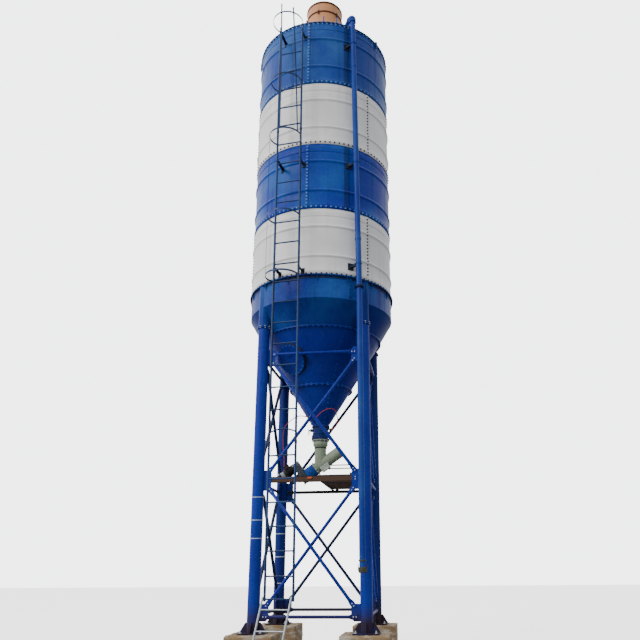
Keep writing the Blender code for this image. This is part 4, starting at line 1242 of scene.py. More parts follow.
@dataclass
class Bracing:
    """Round tubes, pressed flat at their ends and bolted to the gussets."""

    plane: float = 0.935
    gusset_half: float = 0.005
    tie_radius: float = 0.027
    brace_radius: float = 0.029
    tie_reach: float = 0.787
    ties: tuple = (("upper", 5.260, SIDES), ("bottom", 0.755, SIDES), ("mid", 2.952, ("right", "left")))
    bays: tuple = (("upper", 0.770, 5.150, 3.095), ("lower", 0.740, 2.830, 0.905))
    flat_length: float = 0.085
    flat_half: float = 0.006
    sides: int = 20

    def build(self, shop: Workshop) -> list[bpy.types.Object]:
        """Make the ties, the crossed braces and their bolts.

        Args:
            shop: Recipes for the bolts.

        Returns:
            The pieces.
        """
        made = []
        bolts: dict[str, Sketch] = {side: Sketch() for side in SIDES}
        for level, height, sides in self.ties:
            for side in sides:
                start, end = Vector((-self.tie_reach, 0, height)), Vector((self.tie_reach, 0, height))
                made.append(self.member(f"{level}_tie", side, "", start, end, self.tie_radius, -1))
                self.fasten(bolts[side], shop, side, start, end, -1, self.tie_radius)
        for bay, reach, top, bottom in self.bays:
            for side in SIDES:
                for lean, face in (("a", -1), ("b", 1)):
                    start, end = Vector((face * reach, 0, top)), Vector((-face * reach, 0, bottom))
                    made.append(self.member(f"{bay}_brace", side, f"_{lean}", start, end, self.brace_radius, face))
                    self.fasten(bolts[side], shop, side, start, end, face, self.brace_radius)
        for side, sketch in bolts.items():
            made.append(sketch.fit(f"bracing_bolts_{side}", Paint.ZINC, "bare_steel"))
        return made

    def member(self, kind: str, side: str, lean: str, start: Vector, end: Vector, radius: float,
               face: int) -> bpy.types.Object:
        """Sweep one tube with flattened ends that lie on the gusset plates.

        Args:
            kind: The node's first words, such as "upper_tie".
            side: Which side of the frame it braces.
            lean: The node's last letter with its underscore, or nothing.
            start: One end in the plane of the side, with y as 0.
            end: The other end.
            radius: The tube's radius.
            face: -1 outside the gusset plates, 1 inside.

        Returns:
            The piece.
        """
        run = (end - start).normalized()
        across = run.cross(Vector((0, 1, 0)))
        length = (end - start).length
        flat, neck = self.flat_length, 0.060
        stations = [0.0, flat, flat + neck * 0.35, flat + neck * 0.7, flat + neck]
        stations = stations + [length / 2] + [length - s for s in reversed(stations)]
        rings = []
        for along in stations:
            near = min(along, length - along)
            share = max(0.0, min(1.0, (near - flat) / neck))
            share = share * share * (3 - 2 * share)
            deep = self.flat_half + (radius - self.flat_half) * share
            wide = 0.043 + (radius - 0.043) * share
            line = -self.plane + face * (self.gusset_half + 0.0006 + deep)
            middle = start + run * along
            middle.y = line
            ring = []
            for step in range(self.sides):
                angle = math.tau * step / self.sides
                power = 1.0 if share > 0.99 else 0.55
                c, s = math.cos(angle), math.sin(angle)
                flat_y = math.copysign(abs(s) ** power, s) * deep
                ring.append(middle + across * (c * wide) + Vector((0, flat_y, 0)))
            rings.append(ring)
        sketch = Sketch().loft(rings)
        turn = Matrix.Rotation(SIDES.index(side) * math.pi / 2, 4, "Z")
        bmesh.ops.transform(sketch.shape, matrix=turn, verts=sketch.shape.verts)
        # The rear and left braces get the darker copy of the frame blue as painted shade.
        paint = Paint.FRAME_BLUE if side in ("front", "right") else Paint.BRACE_DARK
        node = f"{kind}_{side}{lean}"
        return sketch.fit(f"tube_{node}", paint, "frame_blue_paint", node, sharp=50)

    def fasten(self, sketch: Sketch, shop: Workshop, side: str, start: Vector, end: Vector, face: int,
               radius: float) -> None:
        """Put two bolts through each flattened end, with their heads outside.

        Args:
            sketch: Collects the bolts of one side.
            shop: Recipes.
            side: Which side of the frame.
            start: One end of the tube, with y as 0.
            end: The other end.
            face: -1 outside the gusset plates, 1 inside.
            radius: The tube's radius; not used.
        """
        run = (end - start).normalized()
        turn = Matrix.Rotation(SIDES.index(side) * math.pi / 2, 4, "Z")
        seat = self.gusset_half + 0.0006 + 2 * self.flat_half if face < 0 else self.gusset_half
        for origin, way in ((start, run), (end, -run)):
            first, last = origin + way * 0.020, origin + way * 0.068
            first.y = last.y = -self.plane - seat
            heading = (SIDES.index(side) - 1) * math.pi / 2
            sketch.absorb(shop.bolts(turn @ first, turn @ last, 2, (0, 0, heading), round(origin.z * 10), "cap_bolt"))


@dataclass
class Shell:
    """Four courses of pressed sheet, three sheets a course, each lapped over the one below and bolted to it."""

    radius: float = 1.400
    wall: float = 0.005
    tops: tuple = (12.393, 10.858, 9.422, 7.992, 6.631)
    names: tuple = ("top", "upper", "lower", "bottom")
    paints: tuple = (Paint.SHELL_TOP, Paint.SHELL_WHITE, Paint.SHELL_BLUE, Paint.SHELL_WHITE)
    bolt_paints: tuple = (Paint.BOLT_BLUE, Paint.BOLT_DARK, Paint.BOLT_BLUE, Paint.BOLT_DARK)
    slots: tuple = ("shell_blue_paint", "shell_white_paint", "shell_blue_paint", "shell_white_paint")
    first_seams: tuple = (-93.8, -41.0, -93.4, -42.9)
    sheets: int = 3
    columns: int = 181
    rows: int = 37
    rib_places: tuple = (0.27, 0.72)
    rib_height: float = 0.092
    rib_depth: float = 0.021
    crease_place: float = 0.12
    lap_height: float = 0.095
    lap_depth: float = 0.0065
    hidden_lap: float = 0.085
    seam_width: float = 0.075
    ring_bolts: int = 94
    seam_bolts: int = 18

    def build(self, shop: Workshop) -> list[bpy.types.Object]:
        """Roll the four courses and bolt them together.

        Args:
            shop: The pressed sheet's recipe and the bolts.

        Returns:
            The pieces.
        """
        made = []
        for index, name in enumerate(self.names):
            top, bottom = self.tops[index], self.tops[index + 1]
            ring = self.pressed(shop, top, bottom, 0.0, math.tau, self.columns, 0.0, True)
            sketch = Sketch().absorb(ring)
            if index:
                self.hidden_edge(sketch, top)
            for sheet in range(self.sheets):
                bearing = math.radians(self.first_seams[index] + sheet * 360 / self.sheets)
                half = self.seam_width / 2 / self.radius
                sketch.absorb(self.pressed(shop, top, bottom, bearing - half, 2 * half, 5, 0.0048, False))
            course = sketch.object(f"pressed_course_{name}", self.paints[index].coat(), sharp=60)
            skin = course.modifiers.new("sheet thickness", "SOLIDIFY")
            skin.thickness, skin.offset = self.wall, -1.0
            made.append(install(course, self.slots[index], f"shell_course_{name}"))
            made.append(self.bolts(shop, index, top, bottom))
        return made

    def pressed(self, shop: Workshop, top: float, bottom: float, first: float, sweep: float, columns: int,
                proud: float, joined: bool) -> bpy.types.Mesh:
        """Roll one pressed sheet, or the narrow overlap of two.

        Args:
            shop: The recipe.
            top: Height of the upper edge.
            bottom: Height of the lower edge.
            first: Angle where it starts.
            sweep: Angle that it covers.
            columns: Points round it.
            proud: How far it stands off the shell.
            joined: Close it into a ring.

        Returns:
            Its mesh.
        """
        tall = top - bottom
        return shop.sheet.mesh(
            Radius=self.radius + proud, Top=top, Bottom=bottom, First_Angle=first, Sweep=sweep, Columns=columns,
            Rows=self.rows, Upper_Rib=top - self.rib_places[0] * tall, Lower_Rib=top - self.rib_places[1] * tall,
            Rib_Height=self.rib_height, Rib_Depth=self.rib_depth, Crease=top - self.crease_place * tall,
            Lap_Height=self.lap_height, Lap_Depth=self.lap_depth, Joined=joined, Finish=Paint.SHELL_BLUE.coat(),
        )

    def hidden_edge(self, sketch: Sketch, top: float) -> None:
        """Carry a course up behind the lap of the one above it.

        Args:
            sketch: The course's sketch.
            top: Height of the course's upper edge.
        """
        steps = self.columns - 1
        rings = []
        for height in (top - 0.001, top + self.hidden_lap):
            turns = [math.tau * i / steps for i in range(steps)]
            rings.append([sketch.shape.verts.new((self.radius * math.cos(a), self.radius * math.sin(a), height))
                          for a in turns])
        for i in range(steps):
            j = (i + 1) % steps
            sketch.shape.faces.new((rings[0][i], rings[0][j], rings[1][j], rings[1][i]))

    def bolts(self, shop: Workshop, index: int, top: float, bottom: float) -> bpy.types.Object:
        """Bolt the lap and the upright seams of one course.

        Args:
            shop: Recipes and bolts.
            index: The course, from the top down.
            top: Height of its upper edge.
            bottom: Height of its lower edge.

        Returns:
            All its bolts in one piece.
        """
        sketch = Sketch()
        last = index == len(self.names) - 1
        rows = [(bottom + (0.020 if last else 0.045), self.radius + self.lap_depth, 1)]
        if index == 0:
            rows.append((top - 0.030, self.radius, 2))
        for height, seat, seed in rows:
            sketch.absorb(shop.bolt_ring(
                seat, height, self.ring_bolts, math.radians(self.first_seams[index]), 0.0, seed + index,
            ))
        for sheet in range(self.sheets):
            bearing = self.first_seams[index] + sheet * 360 / self.sheets
            low, high = bottom + 0.130, top - 0.060
            for step in range(self.seam_bolts):
                height = low + (high - low) * step / (self.seam_bolts - 1)
                seat = polar(self.radius + 0.0048 + self.swell(height, top, bottom), bearing, height)
                sketch.absorb(shop.bolts(seat, facing=(0, 0, math.radians(bearing)), seed=step + 20 * sheet))
        return sketch.fit(f"course_bolts_{self.names[index]}", self.bolt_paints[index], "bare_steel")

    def swell(self, height: float, top: float, bottom: float) -> float:
        """How far the ribs push the sheet out at a height.

        Args:
            height: The height asked for.
            top: Height of the course's upper edge.
            bottom: Height of its lower edge.

        Returns:
            The distance in metres.
        """
        out = 0.0
        for share in self.rib_places:
            away = abs(height - (top - share * (top - bottom))) / (self.rib_height / 2)
            if away < 1:
                near = 1 - away
                out += self.rib_depth * near * near * (3 - 2 * near)
        return out


@dataclass
class Roof:
    """Low cone of lapped sheets on a rim flange, with the neck for the filter."""

    rim: float = 1.424
    foot: float = 1.395
    eaves: float = 12.3933
    neck: float = 0.430
    neck_top: float = 12.760
    shoulder: float = 12.660
    wall: float = 0.006
    laps: int = 16
    first_lap: float = 0.1
    rim_bolts: int = 94
    neck_bolts: int = 24
    posts: tuple = (-81.4, -70.1)
    pipe_collar: float = 0.063

    def build(self, shop: Workshop, pipe: "FillPipe") -> list[bpy.types.Object]:
        """Make the cone, its laps, bolts, posts and lugs.

        Args:
            shop: Recipes.
            pipe: Gives the place where the fill pipe comes down.

        Returns:
            The pieces.
        """
        sketch = Sketch()
        sketch.turned([
            (1.370, self.eaves), (self.rim, self.eaves), (self.rim, self.eaves + 0.012),
            (self.foot, self.eaves + 0.018), (self.neck + 0.02, self.shoulder - 0.003),
            (self.neck, self.shoulder + 0.010),
            (self.neck, self.neck_top - 0.012), (self.neck + 0.035, self.neck_top - 0.012),
            (self.neck + 0.035, self.neck_top), (0.390, self.neck_top), (0.390, self.neck_top - 0.012),
            (self.neck - self.wall, self.neck_top - 0.012), (self.neck - self.wall, self.shoulder),
            (1.370, self.eaves + 0.008),
        ], 144)
        start, along = pipe.arc_end()
        sketch.bar(start + along * 0.0003, start + along * 0.12, self.pipe_collar, 40)
        sketch.disc(start + along * 0.045, along, 0.095, 0.010, 40)
        made = [sketch.fit("roof_cone", Paint.ROOF_BLUE, "roof_blue_paint", "roof")]
        rise, run = self.shoulder - self.eaves - 0.018, self.foot - self.neck
        slope = math.atan2(rise, run)
        strip = Sketch().block((math.hypot(rise, run) - 0.03, 0.045, 0.006), Vector((0, 0, 0.003)), 0.0015)
        unit = shop.unit("roof_lap", strip)
        laps = shop.ring.mesh(
            Part=unit, Radius=(self.foot + self.neck) / 2, Height=(self.eaves + 0.018 + self.shoulder) / 2,
            Count=self.laps, First_Angle=self.first_lap, Tilt=slope, Spin=0.0, Seed=0,
        )
        trims = Sketch().absorb(laps)
        for bearing in self.posts:
            foot = polar(1.405, bearing, self.eaves + 0.010)
            trims.bar(foot, foot + Vector((0, 0, 0.150)), 0.012, 16)
        for bearing, size, drop in ((-28.0, 0.150, 0.030), (-166.0, 0.200, 0.085)):
            trims.block((0.026, 0.050, size), shifted(polar(1.424, bearing, self.eaves - drop))
                        @ spun(bearing), 0.002)
        made.append(trims.fit("roof_laps", Paint.ROOF_BLUE, "roof_blue_paint"))
        nuts = Sketch()
        nuts.absorb(shop.bolt_ring(1.4125, self.eaves, self.rim_bolts, 0.02, math.pi / 2, 9))
        nuts.absorb(shop.bolt_ring(self.neck + 0.018, self.neck_top - 0.012, self.neck_bolts, 0.0, math.pi / 2, 10))
        for step in range(self.laps):
            bearing = math.degrees(self.first_lap) + step * 360 / self.laps
            for share in (0.15, 0.5, 0.85):
                reach = self.foot + (self.neck - self.foot) * share
                height = self.eaves + 0.018 + rise * share + 0.006
                seat = polar(reach, bearing, height)
                nuts.absorb(shop.bolts(seat, facing=(0, -math.pi / 2 + slope, math.radians(bearing)), seed=step))
        made.append(nuts.fit("roof_bolts", Paint.BOLT_BLUE, "bare_steel"))
        return made


@dataclass
class DustFilter:
    """Round dust filter: a rolled housing, and a cover held by toggle clamps."""

    radius: float = 0.405
    base: float = 12.7603
    split: float = 13.720
    top: float = 14.013
    bead: float = 0.012
    clamps: int = 6

    def build(self) -> list[bpy.types.Object]:
        """Make the housing, the cover, the brown rims and the clamps.

        Returns:
            The pieces.
        """
        foot = 0.460
        housing = Sketch().turned([
            (0.0, self.base), (foot, self.base), (foot, self.base + 0.012), (self.radius + 0.004, self.base + 0.014),
            (self.radius, self.base + 0.020), (self.radius, self.base + 0.44), (self.radius + 0.006, self.base + 0.455),
            (self.radius, self.base + 0.470), (self.radius, self.split - 0.0002), (0.0, self.split - 0.0002),
        ], 96)
        seam = polar(self.radius + 0.001, -150, (self.base + self.split) / 2)
        housing.block((0.006, 0.030, self.split - self.base - 0.06), shifted(seam) @ spun(-150), 0.001)
        door = polar(self.radius - 0.006, 120, 13.26)
        housing.block((0.040, 0.320, 0.420), shifted(door) @ spun(120), 0.006)
        cover = Sketch().turned([
            (0.0, self.split + 0.0002), (self.radius, self.split + 0.0002), (self.radius, self.top - 0.050),
            (self.radius - 0.004, self.top - 0.030), (self.radius - 0.030, self.top - 0.018), (0.16, self.top - 0.002),
            (0.0, self.top),
        ], 96)
        rims = Sketch()
        for low, high in ((self.split - 0.028, self.split + 0.012), (self.top - 0.060, self.top - 0.016)):
            mid, out = (low + high) / 2, self.radius + self.bead
            rims.turned([
                (self.radius - 0.002, low), (out - 0.003, low), (out, low + 0.004), (out, mid - 0.002),
                (out - 0.003, mid), (out, mid + 0.002), (out, high - 0.004), (out - 0.003, high),
                (self.radius - 0.002, high),
            ], 96)
        clamps = Sketch()
        for step in range(self.clamps):
            bearing = 20 + 60 * step
            place = shifted(polar(self.radius + 0.020, bearing, self.split - 0.035)) @ spun(bearing)
            clamps.block((0.012, 0.034, 0.110), place, 0.003)
            clamps.bar(place @ Vector((0.008, -0.020, 0.030)), place @ Vector((0.008, 0.020, 0.030)), 0.006, 10)
            clamps.bar(place @ Vector((0.006, -0.014, 0.020)), place @ Vector((0.006, -0.014, 0.085)), 0.003, 8)
            clamps.bar(place @ Vector((0.006, 0.014, 0.020)), place @ Vector((0.006, 0.014, 0.085)), 0.003, 8)
        return [
            housing.fit("filter_drum", Paint.FILTER_TAN, "filter_tan_paint", "filter_housing"),
            cover.fit("filter_lid", Paint.FILTER_TAN, "filter_tan_paint", "filter_cover"),
            rims.fit("filter_rims", Paint.FILTER_BROWN, "filter_tan_paint"),
            clamps.fit("filter_clamps", Paint.FILTER_BROWN, "filter_tan_paint"),
        ]


@dataclass
class Skirt:
    """The bottom ring that carries the silo: bolted flange, stiffened band, first cone and leg stubs."""

    radius: float = 1.400
    flange: float = 1.438
    top: float = 6.6308
    rim: float = 6.173
    joint_height: float = 5.7302
    joint_radius: float = 1.140
    joint_flange: float = 1.181
    wall: float = 0.006
    stiffeners: int = 16
    first_stiffener: float = -106.6
    stub_radius: float = 0.103
    stub_flange: float = 0.131
    spread: float = 0.935
    leg_top: float = 5.7853
    seam_bearing: float = -59.0
    bolt_circle: float = 1.4200
    flange_bolts: int = 94
    joint_bolts: int = 72
    seam_bolts: int = 5

    def build(self, shop: Workshop) -> list[bpy.types.Object]:
        """Make the ring, its stiffeners, stubs, seam strips, a dark band of painted shade under the flange, and bolts.

        Args:
            shop: Recipes.

        Returns:
            The pieces.
        """
        inner = self.radius - self.wall
        slope = (inner - self.joint_radius) / (self.rim - self.joint_height)
        sketch = Sketch().turned([
            (self.joint_radius, self.joint_height), (self.joint_flange, self.joint_height),
            (self.joint_flange, self.joint_height + 0.012),
            (self.joint_radius + self.wall + slope * 0.012, self.joint_height + 0.012),
            (self.radius - 0.006, self.rim - 0.006), (self.radius + 0.002, self.rim),
            (self.radius + 0.002, self.rim + 0.012), (self.radius, self.rim + 0.016),
            (self.radius, self.top - 0.020), (self.flange - 0.002, self.top - 0.020),
            (self.flange, self.top - 0.018), (self.flange, self.top - 0.001), (inner, self.top - 0.001),
            (inner, self.rim + 0.003),
        ], 144)
        for x, y in CORNERS.values():
            foot = Vector((x * self.spread, y * self.spread, self.leg_top))
            sketch.bar(foot, foot + Vector((0, 0, self.top - 0.022 - self.leg_top)), self.stub_radius, 64)
            sketch.disc(foot, (0, 0, 1), self.stub_flange, 0.014, 64)
        plate = Sketch().plate(
            [(-0.004, 0.0), (0.036, 0.0), (0.036, -0.018), (-0.004, -0.160)], 0.010, ON_EDGE
        )
        unit = shop.unit("skirt_stiffener", plate)
        sketch.absorb(shop.ring.mesh(Part=unit, Radius=self.radius, Height=self.top - 0.019, Count=self.stiffeners,
            First_Angle=math.radians(self.first_stiffener), Tilt=0.0, Spin=0.0, Seed=0,
        ))
        self.seam(sketch)
        # Painted shade: a dark band just under the flange stands in for the flange's shadow on the band.
        shade = Sketch().turned([
            (self.radius - 0.001, self.top - 0.078), (self.radius + 0.003, self.top - 0.074),
            (self.radius + 0.006, self.top - 0.0205), (self.radius - 0.001, self.top - 0.0205),
        ], 144)
        band = shade.fit("skirt_gasket_band", Paint.BRACE_DARK, "ladder_dark_paint")
        ring = sketch.fit("skirt_band", Paint.SKIRT_BLUE, "frame_blue_paint", "skirt_ring")
        bolts = Sketch()
        low, high = self.joint_height + 0.012, self.top - 0.020
        bolts.absorb(shop.bolt_ring(self.bolt_circle, high, self.flange_bolts, 0.03, math.pi / 2, 3))
        bolts.absorb(shop.bolt_ring(self.joint_radius + 0.024, low, self.joint_bolts, 0.03, -math.pi / 2, 4))
        for turn in (0, 120, 240):
            bearing = self.seam_bearing + turn
            ends = [polar(self.radius + 0.0055, bearing, height) for height in (self.rim + 0.055, self.top - 0.110)]
            bolts.absorb(shop.bolts(*ends, self.seam_bolts, (0, 0, math.radians(bearing)), 5, "cap_bolt"))
        return [band, ring, bolts.fit("skirt_bolts", Paint.BRACE_DARK, "bare_steel")]

    def seam(self, sketch: Sketch) -> None:
        """Weld seam strips down the band, one a sheet.

        Args:
            sketch: The band's sketch.
        """
        for turn in (0, 120, 240):
            middle = polar(self.radius + 0.002, self.seam_bearing + turn, (self.rim + self.top) / 2)
            sketch.block((0.008, 0.060, self.top - self.rim - 0.060), shifted(middle)
                         @ spun(self.seam_bearing + turn), 0.002)


@dataclass
class HopperCone:
    """One bolted cone of the hopper, between two flanges."""

    name: str
    node: str
    high: float
    wide: float
    low: float
    narrow: float
    top_flange: float
    bottom_flange: float
    top_bolts: int
    bottom_bolts: int
    seam_bearing: float
    seam_bolts: int
    wall: float = 0.006
    flange_thickness: float = 0.012

    def build(self, shop: Workshop) -> list[bpy.types.Object]:
        """Roll the cone, its overlap strips and its bolts.

        Args:
            shop: Recipes.

        Returns:
            The pieces.
        """
        high, low, thick = self.high - 0.0002, self.low + 0.0002, self.flange_thickness
        slope = (self.wide - self.narrow) / (high - low)
        sketch = Sketch().turned([
            (self.narrow, low), (self.bottom_flange - 0.002, low), (self.bottom_flange, low + 0.002),
            (self.bottom_flange, low + thick), (self.narrow + self.wall + slope * thick, low + thick),
            (self.wide + self.wall - slope * thick, high - thick), (self.top_flange, high - thick),
            (self.top_flange, high - 0.002), (self.top_flange - 0.002, high), (self.wide, high),
        ], 144)
        lean = math.atan(slope)
        length = math.hypot(self.wide - self.narrow, high - low) - 0.075
        bolts = Sketch()
        for turn in (0.0, 120.0, 240.0):
            bearing = self.seam_bearing + turn
            middle_height = (high + low) / 2
            middle = polar((self.wide + self.narrow) / 2 + self.wall + 0.001, bearing, middle_height)
            place = shifted(middle) @ spun(bearing) @ Matrix.Rotation(lean, 4, "Y")
            sketch.block((0.006, 0.062, length), place, 0.0015)
            ends = [place @ Vector((0.003, 0.0, side * (length / 2 - 0.03))) for side in (-1, 1)]
            bolts.absorb(shop.bolts(*ends, self.seam_bolts, (0, lean, math.radians(bearing)), round(turn), "cap_bolt"))
        for count, flange, height, up in ((self.top_bolts, self.top_flange, high - thick, False),
                                          (self.bottom_bolts, self.bottom_flange, low + thick, True)):
            bolts.absorb(shop.bolt_ring(
                flange - 0.017, height, count, 0.03, -math.pi / 2 if up else math.pi / 2, count,
            ))
        return [
            sketch.fit(f"hopper_cone_{self.name}", Paint.HOPPER_BLUE, "hopper_blue_paint", self.node),
            bolts.fit(f"hopper_bolts_{self.name}", Paint.DRUM_BLUE, "bare_steel"),
        ]


@dataclass
class Manhole:
    """Round bolted cover on a short collar, square to the cone."""

    bearing: float = -121.0
    height: float = 5.226
    slope: float = (1.140 - 0.567) / (5.730 - 4.775)
    cone_foot: tuple = (4.775, 0.573)
    radius: float = 0.300
    collar: float = 0.262
    cover: tuple = (0.012, 0.032)
    bolts: int = 20

    def build(self, shop: Workshop) -> list[bpy.types.Object]:
        """Make the collar, gasket, cover, handle and bolts, and a dark ring of painted shade round the cover's foot.

        Args:
            shop: Recipes.

        Returns:
            The pieces.
        """
        reach = self.cone_foot[1] + (self.height - self.cone_foot[0]) * self.slope
        outward = polar(1.0, self.bearing, 0.0)
        normal = (outward - Vector((0, 0, self.slope))).normalized()
        centre = outward * reach + Vector((0, 0, self.height))
        inner, outer = self.cover
        sketch = Sketch()
        sketch.bar(centre - normal * 0.075, centre + normal * inner, self.collar, 96)
        sketch.disc(centre + normal * inner, normal, self.radius, (outer - inner) * 0.45, 96)
        sketch.disc(centre + normal * (inner + (outer - inner) * 0.55), normal, self.radius - 0.004,
                    (outer - inner) * 0.45, 96)
        side = normal.cross(Vector((0, 0, 1))).normalized()
        rise = side.cross(normal)
        grip = []
        for step in range(9):
            share = step / 8
            lift = 0.030 * math.sin(math.pi * share) ** 0.5 if 0 < step < 8 else -0.004
            grip.append(centre + normal * (outer + lift) + side * (-0.07 + 0.14 * share) + rise * 0.10)
        sketch.tube(grip, 0.007, 12)
        seal_and_shade = Sketch().disc(centre + normal * (inner + (outer - inner) * 0.42), normal, self.radius + 0.001,
                               (outer - inner) * 0.16, 96, edge=0.0008)
        # Painted shade: a dark navy ring, a little wider than the cover, round its foot stands in for the shade under
        # the cover's rim.
        seal_and_shade.disc(centre - normal * 0.030, normal, self.radius + 0.012, 0.034, 96)
        bolts = Sketch()
        for step in range(self.bolts):
            angle = math.tau * step / self.bolts
            seat = centre + normal * (outer - 0.0005) + (side * math.cos(angle) + rise * math.sin(angle)) * 0.276
            bolts.absorb(shop.bolts(seat, facing=(0, math.atan(self.slope), math.radians(self.bearing)), seed=step))
        return [
            sketch.fit("manhole_lid", Paint.HOPPER_BLUE, "hopper_blue_paint", "manhole_cover"),
            seal_and_shade.fit("manhole_gasket", Paint.SEAL_AND_SHADE_NAVY, "lever_black_steel"),
            bolts.fit("manhole_bolts", Paint.DRUM_BLUE, "bare_steel"),
        ]


@dataclass
class ButterflyValve:
    """Outlet valve: a flanged ring with an open bore, and the disc, spindle and lever that turn in it."""

    top: float = 4.0797
    bottom: float = 3.822
    flange: float = 0.168
    bore: float = 0.125
    body: float = 0.147
    spindle_height: float = 4.015
    spindle: float = 0.012
    disc: float = 0.112
    socket: tuple = (0.2052, -0.055, 4.020)
    bolts: int = 12

    def build(self, shop: Workshop) -> list[bpy.types.Object]:
        """Make the body on the silo and the lever on its own body.

        Args:
            shop: Recipes.

        Returns:
            The pieces.
        """
        low, top, wide = self.bottom, self.top, self.flange
        sketch = Sketch().turned([
            (self.bore, low), (wide - 0.002, low), (wide, low + 0.002), (wide, low + 0.014),
            (self.body + 0.006, low + 0.016), (self.body, low + 0.024), (self.body, low + 0.100),
            (self.body + 0.008, low + 0.108),
            (self.body + 0.008, low + 0.128), (self.body, low + 0.136), (self.body, top - 0.024),
            (self.body + 0.006, top - 0.016), (wide, top - 0.014), (wide, top - 0.002), (wide - 0.002, top),
            (self.bore, top),
        ], 96)
        height = self.spindle_height
        boss = [(self.spindle + 0.002, 0.125), (0.036, 0.125), (0.032, 0.160), (0.030, 0.196), (0.028, 0.200),
                (self.spindle + 0.002, 0.200)]
        sketch.turned(boss, 40, shifted((0, 0, height)) @ Matrix.Rotation(-math.pi / 2, 4, "Y"))
        end = Vector((self.socket[0] * 0.997, self.socket[1] * 0.997, self.socket[2]))
        back = end - Vector((0.075, -0.020, 0))
        sketch.bar(back, end, 0.0155, 24)
        sketch.block((0.020, 0.024, 0.090), Vector((-0.150, -0.060, low + 0.045)), 0.003)
        bolts = Sketch()
        for z, up in ((low + 0.014, -1), (top - 0.014, 1)):
            bolts.absorb(shop.bolt_ring(wide - 0.013, z, self.bolts, 0.13, math.pi / 2 * up, self.bolts + up))
        place = shifted((0, 0, height))
        lever = Sketch()
        lever.bar(place @ Vector((-0.238, 0, 0)), place @ Vector((0.060, 0, 0)), self.spindle, 32)
        lever.turned([
            (0.0, -0.005), (self.disc - 0.004, -0.005), (self.disc, 0.0), (self.disc - 0.004, 0.005), (0.0, 0.005),
        ], 72, place @ ON_EDGE)
        lever.block((0.012, 0.050, 0.050), place @ Vector((-0.228, 0, 0)), 0.004)
        arm = [Vector((-0.227, 0, -0.010)), Vector((-0.227, 0, -0.030)), Vector((-0.227, 0, -0.062)),
               Vector((-0.227, 0, -0.088))]
        lever.tube([place @ point for point in arm], [0.0210, 0.0200, 0.0180, 0.0160], 16, (0.45, 1.0), (0, 1, 0))
        lever.bar(place @ Vector((-0.2335, 0, -0.079)), place @ Vector((-0.2195, 0, -0.079)), 0.0115, 20)
        nut = Sketch().bar(place @ Vector((-0.2375, 0, 0)), place @ Vector((-0.2330, 0, 0)), 0.0165, 6)
        made = [
            sketch.fit("outlet_valve", Paint.VALVE_BLUE, "valve_blue_paint", "valve_body"),
            bolts.fit("outlet_valve_bolts", Paint.BOLT_DARK, "bare_steel"),
            lever.fit("outlet_lever", Paint.LEVER_BLACK, "lever_black_steel", "valve_lever",
                    body=LEVER),
            nut.fit("outlet_lever_nut", Paint.LEVER_BLACK, "bare_steel", body=LEVER),
        ]
        return made


